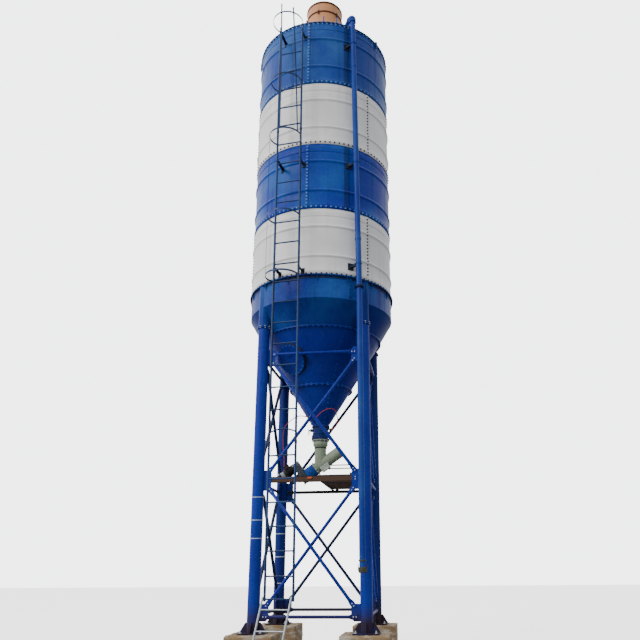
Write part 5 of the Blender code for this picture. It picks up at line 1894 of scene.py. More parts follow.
@dataclass
class ScrewFeeder:
    """Ball joint, inclined feeder tube with its hatch, and the drive and motor at its foot."""

    slope: float = math.radians(34.4)
    radius: float = 0.108
    centre: tuple = (0.0, 0.0, 3.340)
    start: float = -0.110
    end: float = 0.470
    joint_top: float = 3.8217
    inlet: float = 3.640
    neck: float = 0.100
    drum: tuple = (-0.300, 0.132)
    housing: tuple = (-0.425, -0.300)
    motor: tuple = (-0.640, 0.245, 0.090)
    fins: int = 28
    bolts: int = 12
    bolt_circle: float = 0.118

    def place(self, along: float, up: float = 0.0, side: float = 0.0) -> Matrix:
        """Matrix in the feeder's own axes, whose X runs up the tube."""
        turn = Matrix.Rotation(-self.slope, 4, "Y")
        return shifted(Vector(self.centre)) @ turn @ shifted((along, side, up))

    def point(self, along: float, up: float = 0.0, side: float = 0.0) -> Vector:
        """Point in the feeder's own axes."""
        return self.place(along, up, side).translation

    def upright(self, along: float, up: float = 0.0) -> Matrix:
        """Matrix whose Z runs up the feeder tube, for turned shapes."""
        return self.place(along, up) @ Matrix.Rotation(math.pi / 2, 4, "Y")

    def build(self, shop: Workshop) -> list[bpy.types.Object]:
        """Make every piece under the valve.

        Args:
            shop: Recipes.

        Returns:
            The pieces.
        """
        return [*self.joint(shop), *self.tube(shop), *self.drive(shop)]

    def joint(self, shop: Workshop) -> list[bpy.types.Object]:
        """The ball joint with its flange, dark rubber seam and clamp.

        Args:
            shop: Recipes.

        Returns:
            The pieces.
        """
        top, low = self.joint_top, self.inlet + 0.0003
        sketch = Sketch().turned([
            (0.114, top), (0.163, top), (0.165, top - 0.002), (0.165, top - 0.014), (0.124, top - 0.017),
            (0.130, top - 0.030), (0.137, top - 0.050), (0.142, top - 0.072), (0.140, top - 0.090),
            (0.131, top - 0.110), (0.117, top - 0.130), (0.109, top - 0.146), (0.108, top - 0.150), (0.108, low),
            (0.094, low),
            (0.098, top - 0.150), (0.128, top - 0.095), (0.129, top - 0.045), (0.114, top - 0.016),
        ], 96)
        seam = Sketch().turned([
            (0.1065, top - 0.148), (0.117, top - 0.143), (0.119, top - 0.152), (0.117, top - 0.161),
            (0.1065, top - 0.158),
        ], 96)
        bolts = Sketch().absorb(shop.bolt_ring(0.150, top - 0.014, self.bolts, 0.13, math.pi / 2, 21))
        return [
            sketch.fit("feeder_ball_joint", Paint.FEEDER_GREEN, "feeder_green_paint", "ball_joint"),
            seam.fit("ball_joint_seal", Paint.RUBBER_BLACK, "lever_black_steel"),
            bolts.fit("ball_joint_bolts", Paint.ZINC, "bare_steel"),
        ]

    def tube(self, shop: Workshop) -> list[bpy.types.Object]:
        """The feeder's tube, flanges, neck, hatch and the two thin rods beside it.

        Args:
            shop: Recipes.

        Returns:
            The pieces.
        """
        sketch = Sketch()
        sketch.turned([
            (0.0, self.start), (0.128, self.start), (0.128, self.start + 0.014),
            (self.radius + 0.004, self.start + 0.016), (self.radius, self.start + 0.022),
            (self.radius, self.end - 0.034), (self.radius + 0.006, self.end - 0.032),
            (self.radius + 0.006, self.end - 0.012), (self.radius, self.end - 0.010), (self.radius, self.end - 0.002),
            (self.radius - 0.002, self.end), (0.0, self.end),
        ], 96, self.upright(0.0))
        outlet_low = self.centre[2]
        sketch.bar((0, 0, outlet_low), (0, 0, self.inlet), self.neck + 0.008, 72)
        hatch = self.place(0.065, -0.105, -0.088)
        sketch.block((0.176, 0.058, 0.106), hatch, 0.004)
        lid = Sketch()
        lid.block((0.166, 0.008, 0.094), hatch @ shifted((0, -0.030, 0)), 0.003)
        lid.block((0.020, 0.016, 0.040), hatch @ shifted((0.070, -0.036, 0)), 0.003)
        lid.block((0.020, 0.016, 0.040), hatch @ shifted((-0.070, -0.036, 0)), 0.003)
        rods = Sketch()
        start = self.point(0.145, -0.112, -0.100)
        for drop in (0.0, -0.062):
            rods.bar(start + Vector((0, 0, drop)), start + Vector((0.440, 0, drop)), 0.011, 16)
        rods.block((0.014, 0.020, 0.090), start + Vector((0.436, 0, -0.031)), 0.003)
        rods.block((0.020, 0.030, 0.100), start + Vector((0.004, 0, -0.031)), 0.003)
        bolts = Sketch()
        for step in range(self.bolts):
            angle = math.tau * (step + 0.5) / self.bolts
            up, side = self.bolt_circle * math.sin(angle), self.bolt_circle * math.cos(angle)
            seat = self.point(self.start + 0.014, up, side)
            bolts.absorb(shop.bolts(seat, facing=(0, -self.slope, 0), seed=step))
        for along in (-0.070, -0.024, 0.024, 0.070):
            for drop in (-0.040, 0.040):
                seat = hatch @ Vector((along, -0.034, drop))
                bolts.absorb(shop.bolts(seat, facing=(0, 0, -math.pi / 2), seed=3))
        return [
            sketch.fit("feeder_screw_tube", Paint.FEEDER_GREEN, "feeder_green_paint", "feeder_tube"),
            lid.fit("feeder_hatch_lid", Paint.HATCH_PALE, "feeder_green_paint"),
            rods.fit("feeder_rods", Paint.ARM_DARK, "bare_steel"),
            bolts.fit("feeder_bolts", Paint.ZINC, "bare_steel"),
        ]

    def drive(self, shop: Workshop) -> list[bpy.types.Object]:
        """Ribbed blue drum, gear housing, finned motor and terminal box.

        Args:
            shop: Recipes.

        Returns:
            The pieces.
        """
        drum_start, drum_radius = self.drum
        profile = [(0.0, drum_start), (drum_radius - 0.018, drum_start)]
        rib_count, pitch = 6, 0.030
        for rib in range(rib_count):
            low = drum_start + 0.006 + rib * pitch
            profile += [(drum_radius - 0.018, low), (drum_radius + 0.004, low + 0.004),
                        (drum_radius + 0.004, low + 0.010), (drum_radius - 0.018, low + 0.014)]
        profile += [(drum_radius - 0.018, self.start - 0.0003), (0.0, self.start - 0.0003)]
        drum = Sketch().turned(profile, 72, self.upright(0.0))
        low, high = self.housing
        housing = Sketch()
        outline = []
        for centre_up, size, first, last in ((0.215, 0.110, -5, 185), (0.0, 0.118, 175, 365)):
            for step in range(25):
                angle = math.radians(first + (last - first) * step / 24)
                outline.append((size * math.cos(angle), centre_up + size * math.sin(angle)))
        flat = self.place((low + high) / 2) @ Matrix.Rotation(math.pi / 2, 4, "Z") @ ON_EDGE
        housing.plate(outline, high - low - 0.016, flat)
        grown = [(x * 1.035, y * 1.035 - 0.003) for x, y in outline]
        for middle in (low + 0.008, high - 0.008, (low + high) / 2):
            plate = self.place(middle) @ Matrix.Rotation(math.pi / 2, 4, "Z") @ ON_EDGE
            housing.plate(grown, 0.010, plate)
        bolts = Sketch()
        for step, (x, y) in enumerate(grown[::6]):
            seat = self.point(low + 0.003, y * 0.93, x * 0.93)
            bolts.absorb(shop.bolts(seat, facing=(0, -self.slope + math.pi, 0), seed=step))
        motor_end, up, radius = self.motor
        start = low - 0.0003
        motor = Sketch().turned([
            (0.0, motor_end), (radius - 0.022, motor_end), (radius - 0.010, motor_end + 0.010),
            (radius - 0.008, motor_end + 0.045), (radius - 0.010, motor_end + 0.050), (radius - 0.010, start - 0.030),
            (radius, start - 0.026), (radius, start), (0.0, start),
        ], 72, self.upright(0.0, up))
        fin = Sketch().block((0.012, 0.0025, start - motor_end - 0.085), Vector((0, 0, 0)))
        unit = shop.unit("motor_fin", fin)
        mesh = shop.ring.mesh(
            Part=unit, Radius=radius - 0.007, Height=(start + motor_end) / 2 + 0.010, Count=self.fins,
            First_Angle=0.0, Tilt=0.0, Spin=0.0, Seed=0,
        )
        mesh.transform(self.upright(0.0, up))
        motor.absorb(mesh)
        motor.block((0.100, 0.088, 0.066), self.place(-0.540, 0.345), 0.006)
        motor.block((0.106, 0.094, 0.008), self.place(-0.540, 0.375), 0.003)
        box = Sketch().block((0.072, 0.100, 0.100), self.place(-0.668, 0.262), 0.008)
        box.block((0.010, 0.108, 0.108), self.place(-0.690, 0.262), 0.003)
        box.bar(self.point(-0.668, 0.262, -0.045), self.point(-0.668, 0.262, -0.074), 0.013, 20)
        return [
            drum.fit("feeder_drum", Paint.DRUM_BLUE, "frame_blue_paint"),
            housing.fit("gear_housing", Paint.DRIVE_GREY, "drive_grey_casting", "feeder_drive", edge=0.003),
            bolts.fit("gear_housing_bolts", Paint.ZINC, "bare_steel"),
            motor.fit("finned_motor", Paint.MOTOR_DARK, "motor_dark_casting", "drive_motor"),
            box.fit("motor_terminal_box", Paint.ALUMINIUM, "bare_steel"),
        ]


@dataclass
class FillPipe:
    """Fill pipe from its hose coupling up the shell and over the roof's rim, on bolted wall arms."""

    radius: float = 0.053
    foot: tuple = (0.905, -1.232, 1.430)
    joint: tuple = (0.893, -1.243, 6.400)
    top: tuple = (0.813, -1.297, 12.400)
    bend: float = 0.200
    arc: float = math.radians(138)
    arm_heights: tuple = (6.860, 9.020, 11.860)
    couplings: tuple = ((1.480, 0.080, 0.068), (1.620, 0.030, 0.062), (7.380, 0.060, 0.060), (11.290, 0.060, 0.060))
    flange: tuple = (6.400, 0.030, 0.085)
    elbow_ball: float = 0.085
    shell: float = 1.400

    def out(self) -> Vector:
        """Unit vector from the silo's axis out to the pipe's top."""
        return Vector((self.top[0], self.top[1], 0)).normalized()

    def on_bend(self, angle: float) -> Vector:
        """Point on the bend.

        Args:
            angle: How far round the bend it is, from the upright pipe.

        Returns:
            The point.
        """
        out = self.out()
        middle = Vector(self.top) - out * self.bend
        return middle + out * (self.bend * math.cos(angle)) + Vector((0, 0, self.bend * math.sin(angle)))

    def arc_end(self) -> tuple[Vector, Vector]:
        """Where the bend stops above the roof.

        Returns:
            The point, and the pipe's direction there.
        """
        out = self.out()
        along = -out * math.sin(self.arc) + Vector((0, 0, math.cos(self.arc)))
        return self.on_bend(self.arc), along.normalized()

    def at(self, height: float) -> Vector:
        """Point on the upright pipe.

        Args:
            height: The height asked for.

        Returns:
            The middle of the pipe there.
        """
        foot, joint, top = Vector(self.foot), Vector(self.joint), Vector(self.top)
        low, high = (foot, joint) if height < joint.z else (joint, top)
        return low.lerp(high, (height - low.z) / (high.z - low.z))

    def build(self, shop: Workshop) -> list[bpy.types.Object]:
        """Make the pipe, couplings, arms, clamps and bolts.

        Args:
            shop: Recipes.

        Returns:
            The pieces.
        """
        path = [Vector(self.foot), self.at(3.0), self.at(4.7), Vector(self.joint), self.at(8.4), self.at(10.4),
                Vector(self.top)]
        path += [self.on_bend(self.arc * step / 14) for step in range(1, 15)]
        sketch, cuffs = Sketch().tube(path, self.radius, 40, up=(0.3, 1, 0.1)), Sketch()
        for height, tall, radius in self.couplings:
            low, high = self.at(height - tall / 2), self.at(height + tall / 2)
            (cuffs if height < 2 else sketch).disc(low, high - low, radius, tall, 48, edge=0.004)
        height, tall, radius = self.flange
        joint = Sketch()
        for offset in (-tall / 2, 0.001):
            joint.disc(self.at(height + offset), self.at(height + 0.1) - self.at(height), radius, tall / 2 - 0.001, 56)
        elbow = Sketch()
        crown = self.on_bend(math.radians(38))
        elbow.turned([(self.elbow_ball * math.sin(math.pi * s / 24), -self.elbow_ball * math.cos(math.pi * s / 24))
                      for s in range(25)], 48, shifted(crown))
        for angle in (4, 70):
            spot, ahead = self.on_bend(math.radians(angle)), self.on_bend(math.radians(angle + 2))
            elbow.disc(spot, ahead - spot, self.radius + 0.018, 0.020, 48)
        web = [self.on_bend(math.radians(angle)) for angle in range(10, 131, 20)]
        rim = self.out() * (self.shell + 0.010) + Vector((0, 0, self.top[2] + 0.010))
        web = [self.at(self.top[2] - 0.010), *web, rim]
        side = self.out().cross(Vector((0, 0, 1))) * 0.005
        elbow.loft([[point - side for point in web], [point + side for point in web]])
        arms, clamps, bolts = Sketch(), Sketch(), Sketch()
        for height in self.arm_heights:
            self.arm(arms, clamps, bolts, shop, height)
        bolts.absorb(self.flange_bolts(shop))
        return [
            sketch.fit("fill_pipe_run", Paint.PIPE_BLUE, "pipe_blue_paint", "fill_pipe"),
            cuffs.fit("fill_pipe_cuffs", Paint.CUFF, "pipe_blue_paint"),
            joint.fit("fill_pipe_flange", Paint.BRACE_DARK, "pipe_blue_paint"),
            elbow.fit("fill_pipe_elbow", Paint.PIPE_BLUE, "pipe_blue_paint"),
            arms.fit("fill_pipe_arms", Paint.ARM_DARK, "ladder_dark_paint"),
            clamps.fit("fill_pipe_clamps", Paint.PIPE_BLUE, "bare_steel"),
            bolts.fit("fill_pipe_bolts", Paint.BOLT_DARK, "bare_steel"),
            *self.coupling(),
        ]

    def flange_bolts(self, shop: Workshop) -> bpy.types.Mesh:
        """Eight through bolts in the pipe's flange.

        Args:
            shop: Recipes and bolts.

        Returns:
            Their mesh.
        """
        mesh = shop.bolt_ring(0.069, self.flange[1] / 2, 8, 0.2, -math.pi / 2, 5, part="flange_bolt")
        mesh.transform(shifted(self.at(self.flange[0])))
        return mesh

    def arm(self, arms: Sketch, clamps: Sketch, bolts: Sketch, shop: Workshop, height: float) -> None:
        """One wall arm: a channel on a bolted pad, with a U-clamp round the pipe.

        Args:
            arms: Collects the channels and pads.
            clamps: Collects the clamps.
            bolts: Collects the bolts.
            shop: Recipes.
            height: The arm's height.
        """
        spot = self.at(height)
        bearing = math.degrees(math.atan2(spot.y, spot.x))
        reach = math.hypot(spot.x, spot.y)
        turn = spun(bearing)
        pad = shifted(polar(self.shell + 0.005, bearing - 4.0, height - 0.030)) @ spun(bearing - 4.0)
        run = spot - pad.translation
        along = run.to_track_quat("X", "Z").to_matrix().to_4x4()
        middle = shifted(pad.translation + run * 0.43) @ along
        for side in (-0.0205, 0.0205):
            arms.block((run.length * 0.86, 0.004, 0.045), middle @ shifted((0, side, 0)), 0.001)
        arms.block((run.length * 0.86, 0.041, 0.004), middle @ shifted((0, 0, -0.0205)), 0.001)
        arms.block((0.010, 0.110, 0.140), pad, 0.002)
        arms.block((0.010, 0.120, 0.060), shifted(polar(reach - self.radius - 0.004, bearing, height)) @ turn,
                   0.002)
        loop = []
        for step in range(17):
            angle = math.radians(-90 + 180 * step / 16)
            loop.append(Vector(((self.radius + 0.006) * math.cos(angle), (self.radius + 0.006) * math.sin(angle), 0)))
        loop = [loop[0] - Vector((0.060, 0, 0)), *loop, loop[-1] - Vector((0.060, 0, 0))]
        place = shifted(polar(reach, bearing, height + 0.004)) @ turn
        clamps.tube([place @ point for point in loop], 0.006, 12)
        for side in (-0.040, 0.040):
            for rise in (-0.052, 0.052):
                seat = pad @ Vector((0.005, side, rise))
                bolts.absorb(shop.bolts(seat, facing=(0, 0, math.radians(bearing - 4.0)), seed=7))

    def coupling(self) -> list[bpy.types.Object]:
        """The hose coupling at the pipe's foot: a grooved ring with two cam arms.

        Returns:
            The pieces.
        """
        foot = Vector(self.foot)
        ring = Sketch()
        ring.turned([
            (self.radius - 0.004, 0.0), (0.064, 0.0), (0.066, 0.003), (0.066, 0.016), (0.058, 0.020), (0.058, 0.030),
            (0.0675, 0.034), (0.0675, 0.050), (self.radius - 0.004, 0.050),
        ], 72, shifted(foot + Vector((0, 0, 0.0005))))
        for side in (-1, 1):
            place = shifted(foot + Vector((side * 0.070, 0, 0.085)))
            ring.block((0.010, 0.022, 0.110), place, 0.003)
        return [ring.fit("fill_pipe_coupling", Paint.RUSTY, "bare_steel")]


@dataclass
class LadderLine:
    """Where the tall ladder stands and which way it faces."""

    place: tuple = (-0.420, -1.600)
    heading: float = math.radians(-97.5)
    half_width: float = 0.235
    rail: float = 0.017
    rung: float = 0.011
    lean: float = 0.0050
    top: float = 12.170

    def point(self, across: float, out: float, height: float) -> Vector:
        """Point on the ladder, which leans a little to the left.

        Args:
            across: Distance to the right of its middle.
            out: Distance outwards from the shell.
            height: Height above the ground.

        Returns:
            The point.
        """
        outward = Vector((math.cos(self.heading), math.sin(self.heading), 0))
        right = Vector((-outward.y, outward.x, 0))
        across += self.lean * (self.top - height)
        return Vector((*self.place, 0)) + right * across + outward * out + Vector((0, 0, height))


@dataclass
class Ladder:
    """Tall ladder of round bar, one rung bowed by use, with angle brackets back to the shell."""

    line: LadderLine
    foot: float = 1.020
    top: float = 12.170
    runs: tuple = ((1.055, 0.0, 1), (1.392, 0.3795, 6), (4.069, 0.3930, 7), (6.780, 0.4245, 11), (11.480, 0.0, 1))
    bowed: float = 3.676
    bow: float = 0.060
    brackets: tuple = (6.700, 8.960, 12.010)
    shell: float = 1.400

    def build(self, shop: Workshop) -> list[bpy.types.Object]:
        """Make the rails, rungs and brackets.

        Args:
            shop: The row recipe sets out the rungs.

        Returns:
            The pieces.
        """
        half, rail = self.line.half_width, self.line.rail + 0.003
        sketch = Sketch()
        for side in (-half, half):
            heights = [self.foot + (self.top - self.foot) * step / 6 for step in range(7)]
            sketch.tube([self.line.point(side, 0, z) for z in heights], rail, 24, up=(0, 1, 0))
            for joint in (3.47, 6.62, 9.60):
                low = self.line.point(side, 0, joint)
                sketch.disc(low, (0, 0, 1), rail + 0.004, 0.060, 28)
        collar = 0.0035
        unit = Sketch()
        width = 2 * half - 2 * rail + 0.010
        unit.bar((0, -width / 2, 0), (0, width / 2, 0), self.line.rung + 0.002, 16)
        for side in (-1, 1):
            inner, outer = side * (width / 2 - 0.012), side * (width / 2 - 0.004)
            unit.bar((0, inner, 0), (0, outer, 0), self.line.rung + collar, 16)
        rung = shop.unit("ladder_rung", unit)
        for start, step, count in self.runs:
            first = self.line.point(0, 0, start)
            last = self.line.point(0, 0, start + step * (count - 1))
            sketch.absorb(shop.row.mesh(
                Part=rung, Start=first, End=last, Count=count, Facing=Vector((0, 0, self.line.heading)), Spin=0.0,
                Seed=0,
            ))
        bowed = []
        for step in range(13):
            share = step / 12
            lift = self.bow * math.sin(math.pi * share)
            bowed.append(self.line.point(-half + 2 * half * share, 0, self.bowed + lift))
        sketch.tube(bowed, self.line.rung + 0.002, 16)
        brackets, bolts = Sketch(), Sketch()
        for height in self.brackets:
            for side in (-half, half):
                self.bracket(brackets, bolts, shop, side, height)
        return [
            sketch.fit("ladder_rails_and_rungs", Paint.LADDER_DARK, "ladder_dark_paint", "ladder"),
            brackets.fit("ladder_brackets", Paint.ARM_DARK, "ladder_dark_paint"),
            bolts.fit("ladder_bracket_bolts", Paint.BOLT_DARK, "bare_steel"),
        ]

    def bracket(self, brackets: Sketch, bolts: Sketch, shop: Workshop, side: float, height: float) -> None:
        """One bracket: a length of angle from the rail to a bolted foot on the shell.

        Args:
            brackets: Collects the angles.
            bolts: Collects the bolts.
            shop: Recipes.
            side: Which rail.
            height: The bracket's height.
        """
        rail = self.line.point(side, -self.line.rail * 0.5, height)
        inward = self.line.point(side, -1.0, height) - self.line.point(side, 0.0, height)
        reach = 0.0
        while math.hypot(*(rail + inward * reach).xy) > self.shell + 0.008:
            reach += 0.001
        end = rail + inward * reach
        turn = Matrix.Rotation(self.line.heading, 4, "Z")
        middle = (rail + end) / 2
        brackets.block((reach, 0.005, 0.040), shifted(middle) @ turn, 0.001)
        inner = 1 if side < 0 else -1
        shelf = shifted(middle + Vector((0, 0, 0.0180))) @ turn @ shifted((0, inner * 0.018, 0))
        brackets.block((reach, 0.040, 0.005), shelf, 0.001)
        bearing = math.degrees(math.atan2(end.y, end.x))
        pad = shifted(polar(self.shell + 0.0055, bearing, height)) @ spun(bearing)
        brackets.block((0.009, 0.070, 0.120), pad, 0.0015)
        for rise in (-0.042, 0.042):
            seat = pad @ Vector((0.0045, 0, rise))
            bolts.absorb(shop.bolts(seat, facing=(0, 0, math.radians(bearing)), seed=2))
        clip = [self.line.point(side + math.cos(a) * 0.021, math.sin(a) * 0.021, height)
                for a in [math.pi * s / 8 for s in range(9)]]
        brackets.tube(clip, 0.004, 8)


@dataclass
class Cage:
    """Safety cage of flat bar: hoops welded to the rails and three upright straps."""

    line: LadderLine
    radius: float = 0.2998
    offset: float = 0.196
    hoops: tuple = (6.430, 7.620, 9.330, 10.570, 12.050)
    straps: tuple = (
        ((160, 6.410), (160, 7.620), (160, 9.344)), ((93, 9.316), (93, 10.570), (97, 12.050), (98, 12.270)),
        ((22, 9.316), (34, 10.570), (50, 12.050), (52, 12.190)),
    )
    bolted: tuple = (
        (160, 7.620), (160, 9.330), (93, 9.330), (93, 10.570), (97, 12.050), (22, 9.330), (34, 10.570), (50, 12.050),
    )
    half_tall: float = 0.016
    half_thick: float = 0.003
    steps: int = 48

    def build(self, shop: Workshop) -> list[bpy.types.Object]:
        """Bend the hoops, stand the straps against them and bolt them.

        Args:
            shop: Recipes.

        Returns:
            The pieces.
        """
        recipe = self.hoop_recipe()
        sketch, bolts = Sketch(), Sketch()
        start = math.atan2(-self.offset, self.line.half_width)
        sweep = math.pi - 2 * start
        turn = Matrix.Rotation(self.line.heading - math.pi / 2, 4, "Z")
        for height in self.hoops:
            mesh = recipe.mesh(
                Radius=self.radius, Start_Angle=start, Sweep=sweep, Tall=self.half_tall * 2,
                Thick=self.half_thick * 2, Steps=self.steps, Finish=Paint.LADDER_DARK.coat(),
            )
            centre = self.line.point(0, self.offset, height)
            mesh.transform(shifted(centre) @ turn @ Matrix.Diagonal((-1, 1, 1, 1)))
            mesh.flip_normals()
            sketch.absorb(mesh)
        for stations in self.straps:
            rings = []
            for degrees, height in stations:
                ring = [self.spot(degrees, -0.004 + 0.0025 * radial, height, 0.0135 * along)
                        for radial, along in ((-1, -1), (1, -1), (1, 1), (-1, 1))]
                rings.append(ring)
            sketch.loft(rings)
        for degrees, height in self.bolted:
            outward = self.line.heading + math.radians(degrees) - math.pi / 2
            bolts.absorb(shop.bolts(self.spot(degrees, 0.003, height), facing=(0, 0, outward), seed=4, part="cap_bolt"))
        small = bolts.fit("cage_bolts", Paint.BOLT_DARK, "bare_steel")
        return [
            sketch.fit("cage_hoops_and_straps", Paint.LADDER_DARK, "ladder_dark_paint", "ladder_cage"),
            small,
        ]

    def spot(self, degrees: float, outwards: float, height: float, aside: float = 0.0) -> Vector:
        """Point on the cage's circle.

        Args:
            degrees: Its angle on the circle, from the right round the front.
            outwards: How far outside the middle of the hoops.
            height: Its height.
            aside: How far along the circle.

        Returns:
            The point in the silo's axes.
        """
        angle, reach = math.radians(degrees), self.radius + outwards
        return self.line.point(
            reach * math.cos(angle) - aside * math.sin(angle),
            self.offset + reach * math.sin(angle) + aside * math.cos(angle), height,
        )

    def hoop_recipe(self) -> Recipe:
        """Flat bar swept along an arc.

        Returns:
            The recipe.
        """
        recipe = Recipe("flat_bar_hoop", {
            "Radius": "Float", "Start Angle": "Float", "Sweep": "Float", "Tall": "Float", "Thick": "Float",
            "Steps": "Int",
        })
        given = recipe.given
        arc = recipe.node("GeometryNodeCurveArc", {
            "Resolution": given["Steps"], "Radius": given["Radius"], "Start Angle": given["Start Angle"],
            "Sweep Angle": given["Sweep"],
        }, mode="RADIUS")
        bar = recipe.node(
            "GeometryNodeCurvePrimitiveQuadrilateral", {0: given["Thick"], 1: given["Tall"]}, mode="RECTANGLE"
        )
        swept = recipe.node(
            "GeometryNodeCurveToMesh", {"Curve": arc.outputs[0], "Profile Curve": bar.outputs[0], "Fill Caps": True}
        )
        recipe.end(swept.outputs[0])
        return recipe


@dataclass
class LowerLadder:
    """Short steel ladder that stands on the ground and leans its head on the tall one."""

    line: LadderLine
    slant: tuple = (-0.155, 0.215)
    top: float = 1.090
    rungs: tuple = (0.290, 0.600, 0.905)
    shift: float = -0.020
    head_out: float = 0.024

    def place(self, side: float, height: float) -> Vector:
        """Point on a rail.

        Args:
            side: Distance to the right of the ladder's middle.
            height: Height above the ground.

        Returns:
            The point.
        """
        share = 1 - height / self.top
        across = side + self.shift + self.slant[0] * share
        return self.line.point(across, self.head_out + self.slant[1] * share, height)

    def build(self) -> list[bpy.types.Object]:
        """Make the rails with their rubber feet and the rungs.

        Returns:
            The pieces.
        """
        half = self.line.half_width
        sketch, feet = Sketch(), Sketch()
        for side in (-half, half):
            path = [self.place(side, 0.024 + (self.top - 0.024) * step / 4) for step in range(5)]
            sketch.tube(path, self.line.rail - 0.0010, 24, up=(0, 1, 0))
            feet.bar(self.place(side, 0.006), self.place(side, 0.050), 0.0165, 24)
        for height in self.rungs:
            sketch.bar(self.place(-half, height), self.place(half, height), self.line.rung, 16)
            for side, way in ((-half, 1), (half, -1)):
                near = self.place(side + way * 0.015, height)
                sketch.bar(near, self.place(side + way * 0.023, height), self.line.rung + 0.003, 16)
        return [
            sketch.fit("lower_ladder_rails", Paint.BARE_STEEL, "bare_steel", "lower_ladder"),
            feet.fit("lower_ladder_feet", Paint.RUBBER_BLACK, "lever_black_steel"),
        ]


@dataclass
class ServiceDeck:
    """Ribbed sheet deck on the right half of the frame, on two channel beams."""

    left: float = 0.090
    right: float = 0.815
    half_depth: float = 0.885
    top: float = 3.030
    beam_line: float = 0.9297
    beam_depth: float = 0.048
    reach: float = 0.802
    sheet: float = 0.004
    rib_tall: float = 0.040
    ribs: int = 9

    def build(self, shop: Workshop) -> list[bpy.types.Object]:
        """Make the sheet, its ribs, edge angles, lit edge, cable clip and beams.

        Args:
            shop: The row recipe sets out the ribs.

        Returns:
            The pieces.
        """
        width, middle = self.right - self.left, (self.left + self.right) / 2
        sketch = Sketch().block((width, 2 * self.half_depth, self.sheet),
                                Vector((middle, 0, self.top - self.sheet / 2)), 0.0008)
        fold = Sketch()
        outline = [(-0.060, 0.0), (-0.030, -self.rib_tall), (0.030, -self.rib_tall), (0.060, 0.0), (0.052, 0.0),
                   (0.027, -self.rib_tall + 0.004), (-0.027, -self.rib_tall + 0.004), (-0.052, 0.0)]
        fold.plate(outline, width - 0.016, Matrix.Rotation(math.pi / 2, 4, "Z") @ ON_EDGE)
        unit = shop.unit("deck_rib", fold)
        height = self.top - self.sheet + 0.0003
        ribs = shop.row.mesh(
            Part=unit, Start=Vector((middle, -self.half_depth + 0.095, height)),
            End=Vector((middle, self.half_depth - 0.095, height)), Count=self.ribs, Facing=Vector((0, 0, 0)), Spin=0.0,
            Seed=0,
        )
        sketch.absorb(ribs)
        for x, inward in ((self.left + 0.003, 1), (self.right - 0.003, -1)):
            sketch.block((0.006, 2 * self.half_depth, 0.055), Vector((x, 0, self.top - 0.0275)), 0.001)
            sketch.block((0.045, 2 * self.half_depth, 0.006), Vector((x + inward * 0.022, 0, self.top - 0.052)), 0.001)
        brink = -self.half_depth + 0.016
        edge = Sketch().block((width, 0.030, 0.024), Vector((middle, brink, self.top + 0.0115)), 0.003)
        edge.block((0.075, 0.012, 0.060), Vector((self.right - 0.120, brink, self.top + 0.024)), 0.010)
        clamp = Vector((-0.028, -self.beam_line - 0.010, self.top - 0.034))
        gland = Sketch().block((0.078, 0.030, 0.036), clamp, 0.008)
        clip = gland.fit("deck_cable_clip", Paint.ORANGE, "hose_red_rubber")
        beams = {}
        for name, face, high, tall in (("front", -1, self.top, 0.100), ("rear", 1, self.top - 0.054, 0.054)):
            beam = beams[name] = Sketch()
            middle, low = high - tall / 2, high - tall
            beam.block((2 * self.reach, 0.006, tall), Vector((0, face * (self.beam_line - 0.003), middle)), 0.001)
            flange = face * (self.beam_line - self.beam_depth / 2)
            for height in (high - 0.0045, low + 0.0045):
                beam.block((2 * self.reach, self.beam_depth, 0.009), Vector((0, flange, height)), 0.0015)
            for x in (-0.72, -0.24, 0.24, 0.72):
                beam.block((0.008, self.beam_depth - 0.010, tall - 0.016), Vector((x, flange, middle)), 0.001)
        for x in (0.200, 0.700):
            beams["rear"].block((0.060, 0.050, 0.060), Vector((x, 0.868, self.top - 0.038)), 0.003)
        bolts = Sketch()
        for face, drops in ((-1, (0.030, 0.070)), (1, (0.070, 0.095))):
            for x in (-0.765, 0.765):
                for drop in drops:
                    seat = (x, face * (self.beam_line + 0.0105), self.top - drop)
                    bolts.absorb(shop.bolts(seat, facing=(0, 0, face * math.pi / 2), part="cap_bolt"))
        return [
            clip, sketch.fit("deck_sheet", Paint.RUSTY, "rusty_steel", "service_deck"),
            edge.fit("deck_edge", Paint.DECK_GREY, "rusty_steel"),
            beams["front"].fit("deck_beam_front", Paint.RUSTY, "rusty_steel"),
            beams["rear"].fit("deck_beam_rear", Paint.DECK_BLACK, "rusty_steel"),
            bolts.fit("deck_bolts", Paint.ZINC, "bare_steel"),
        ]


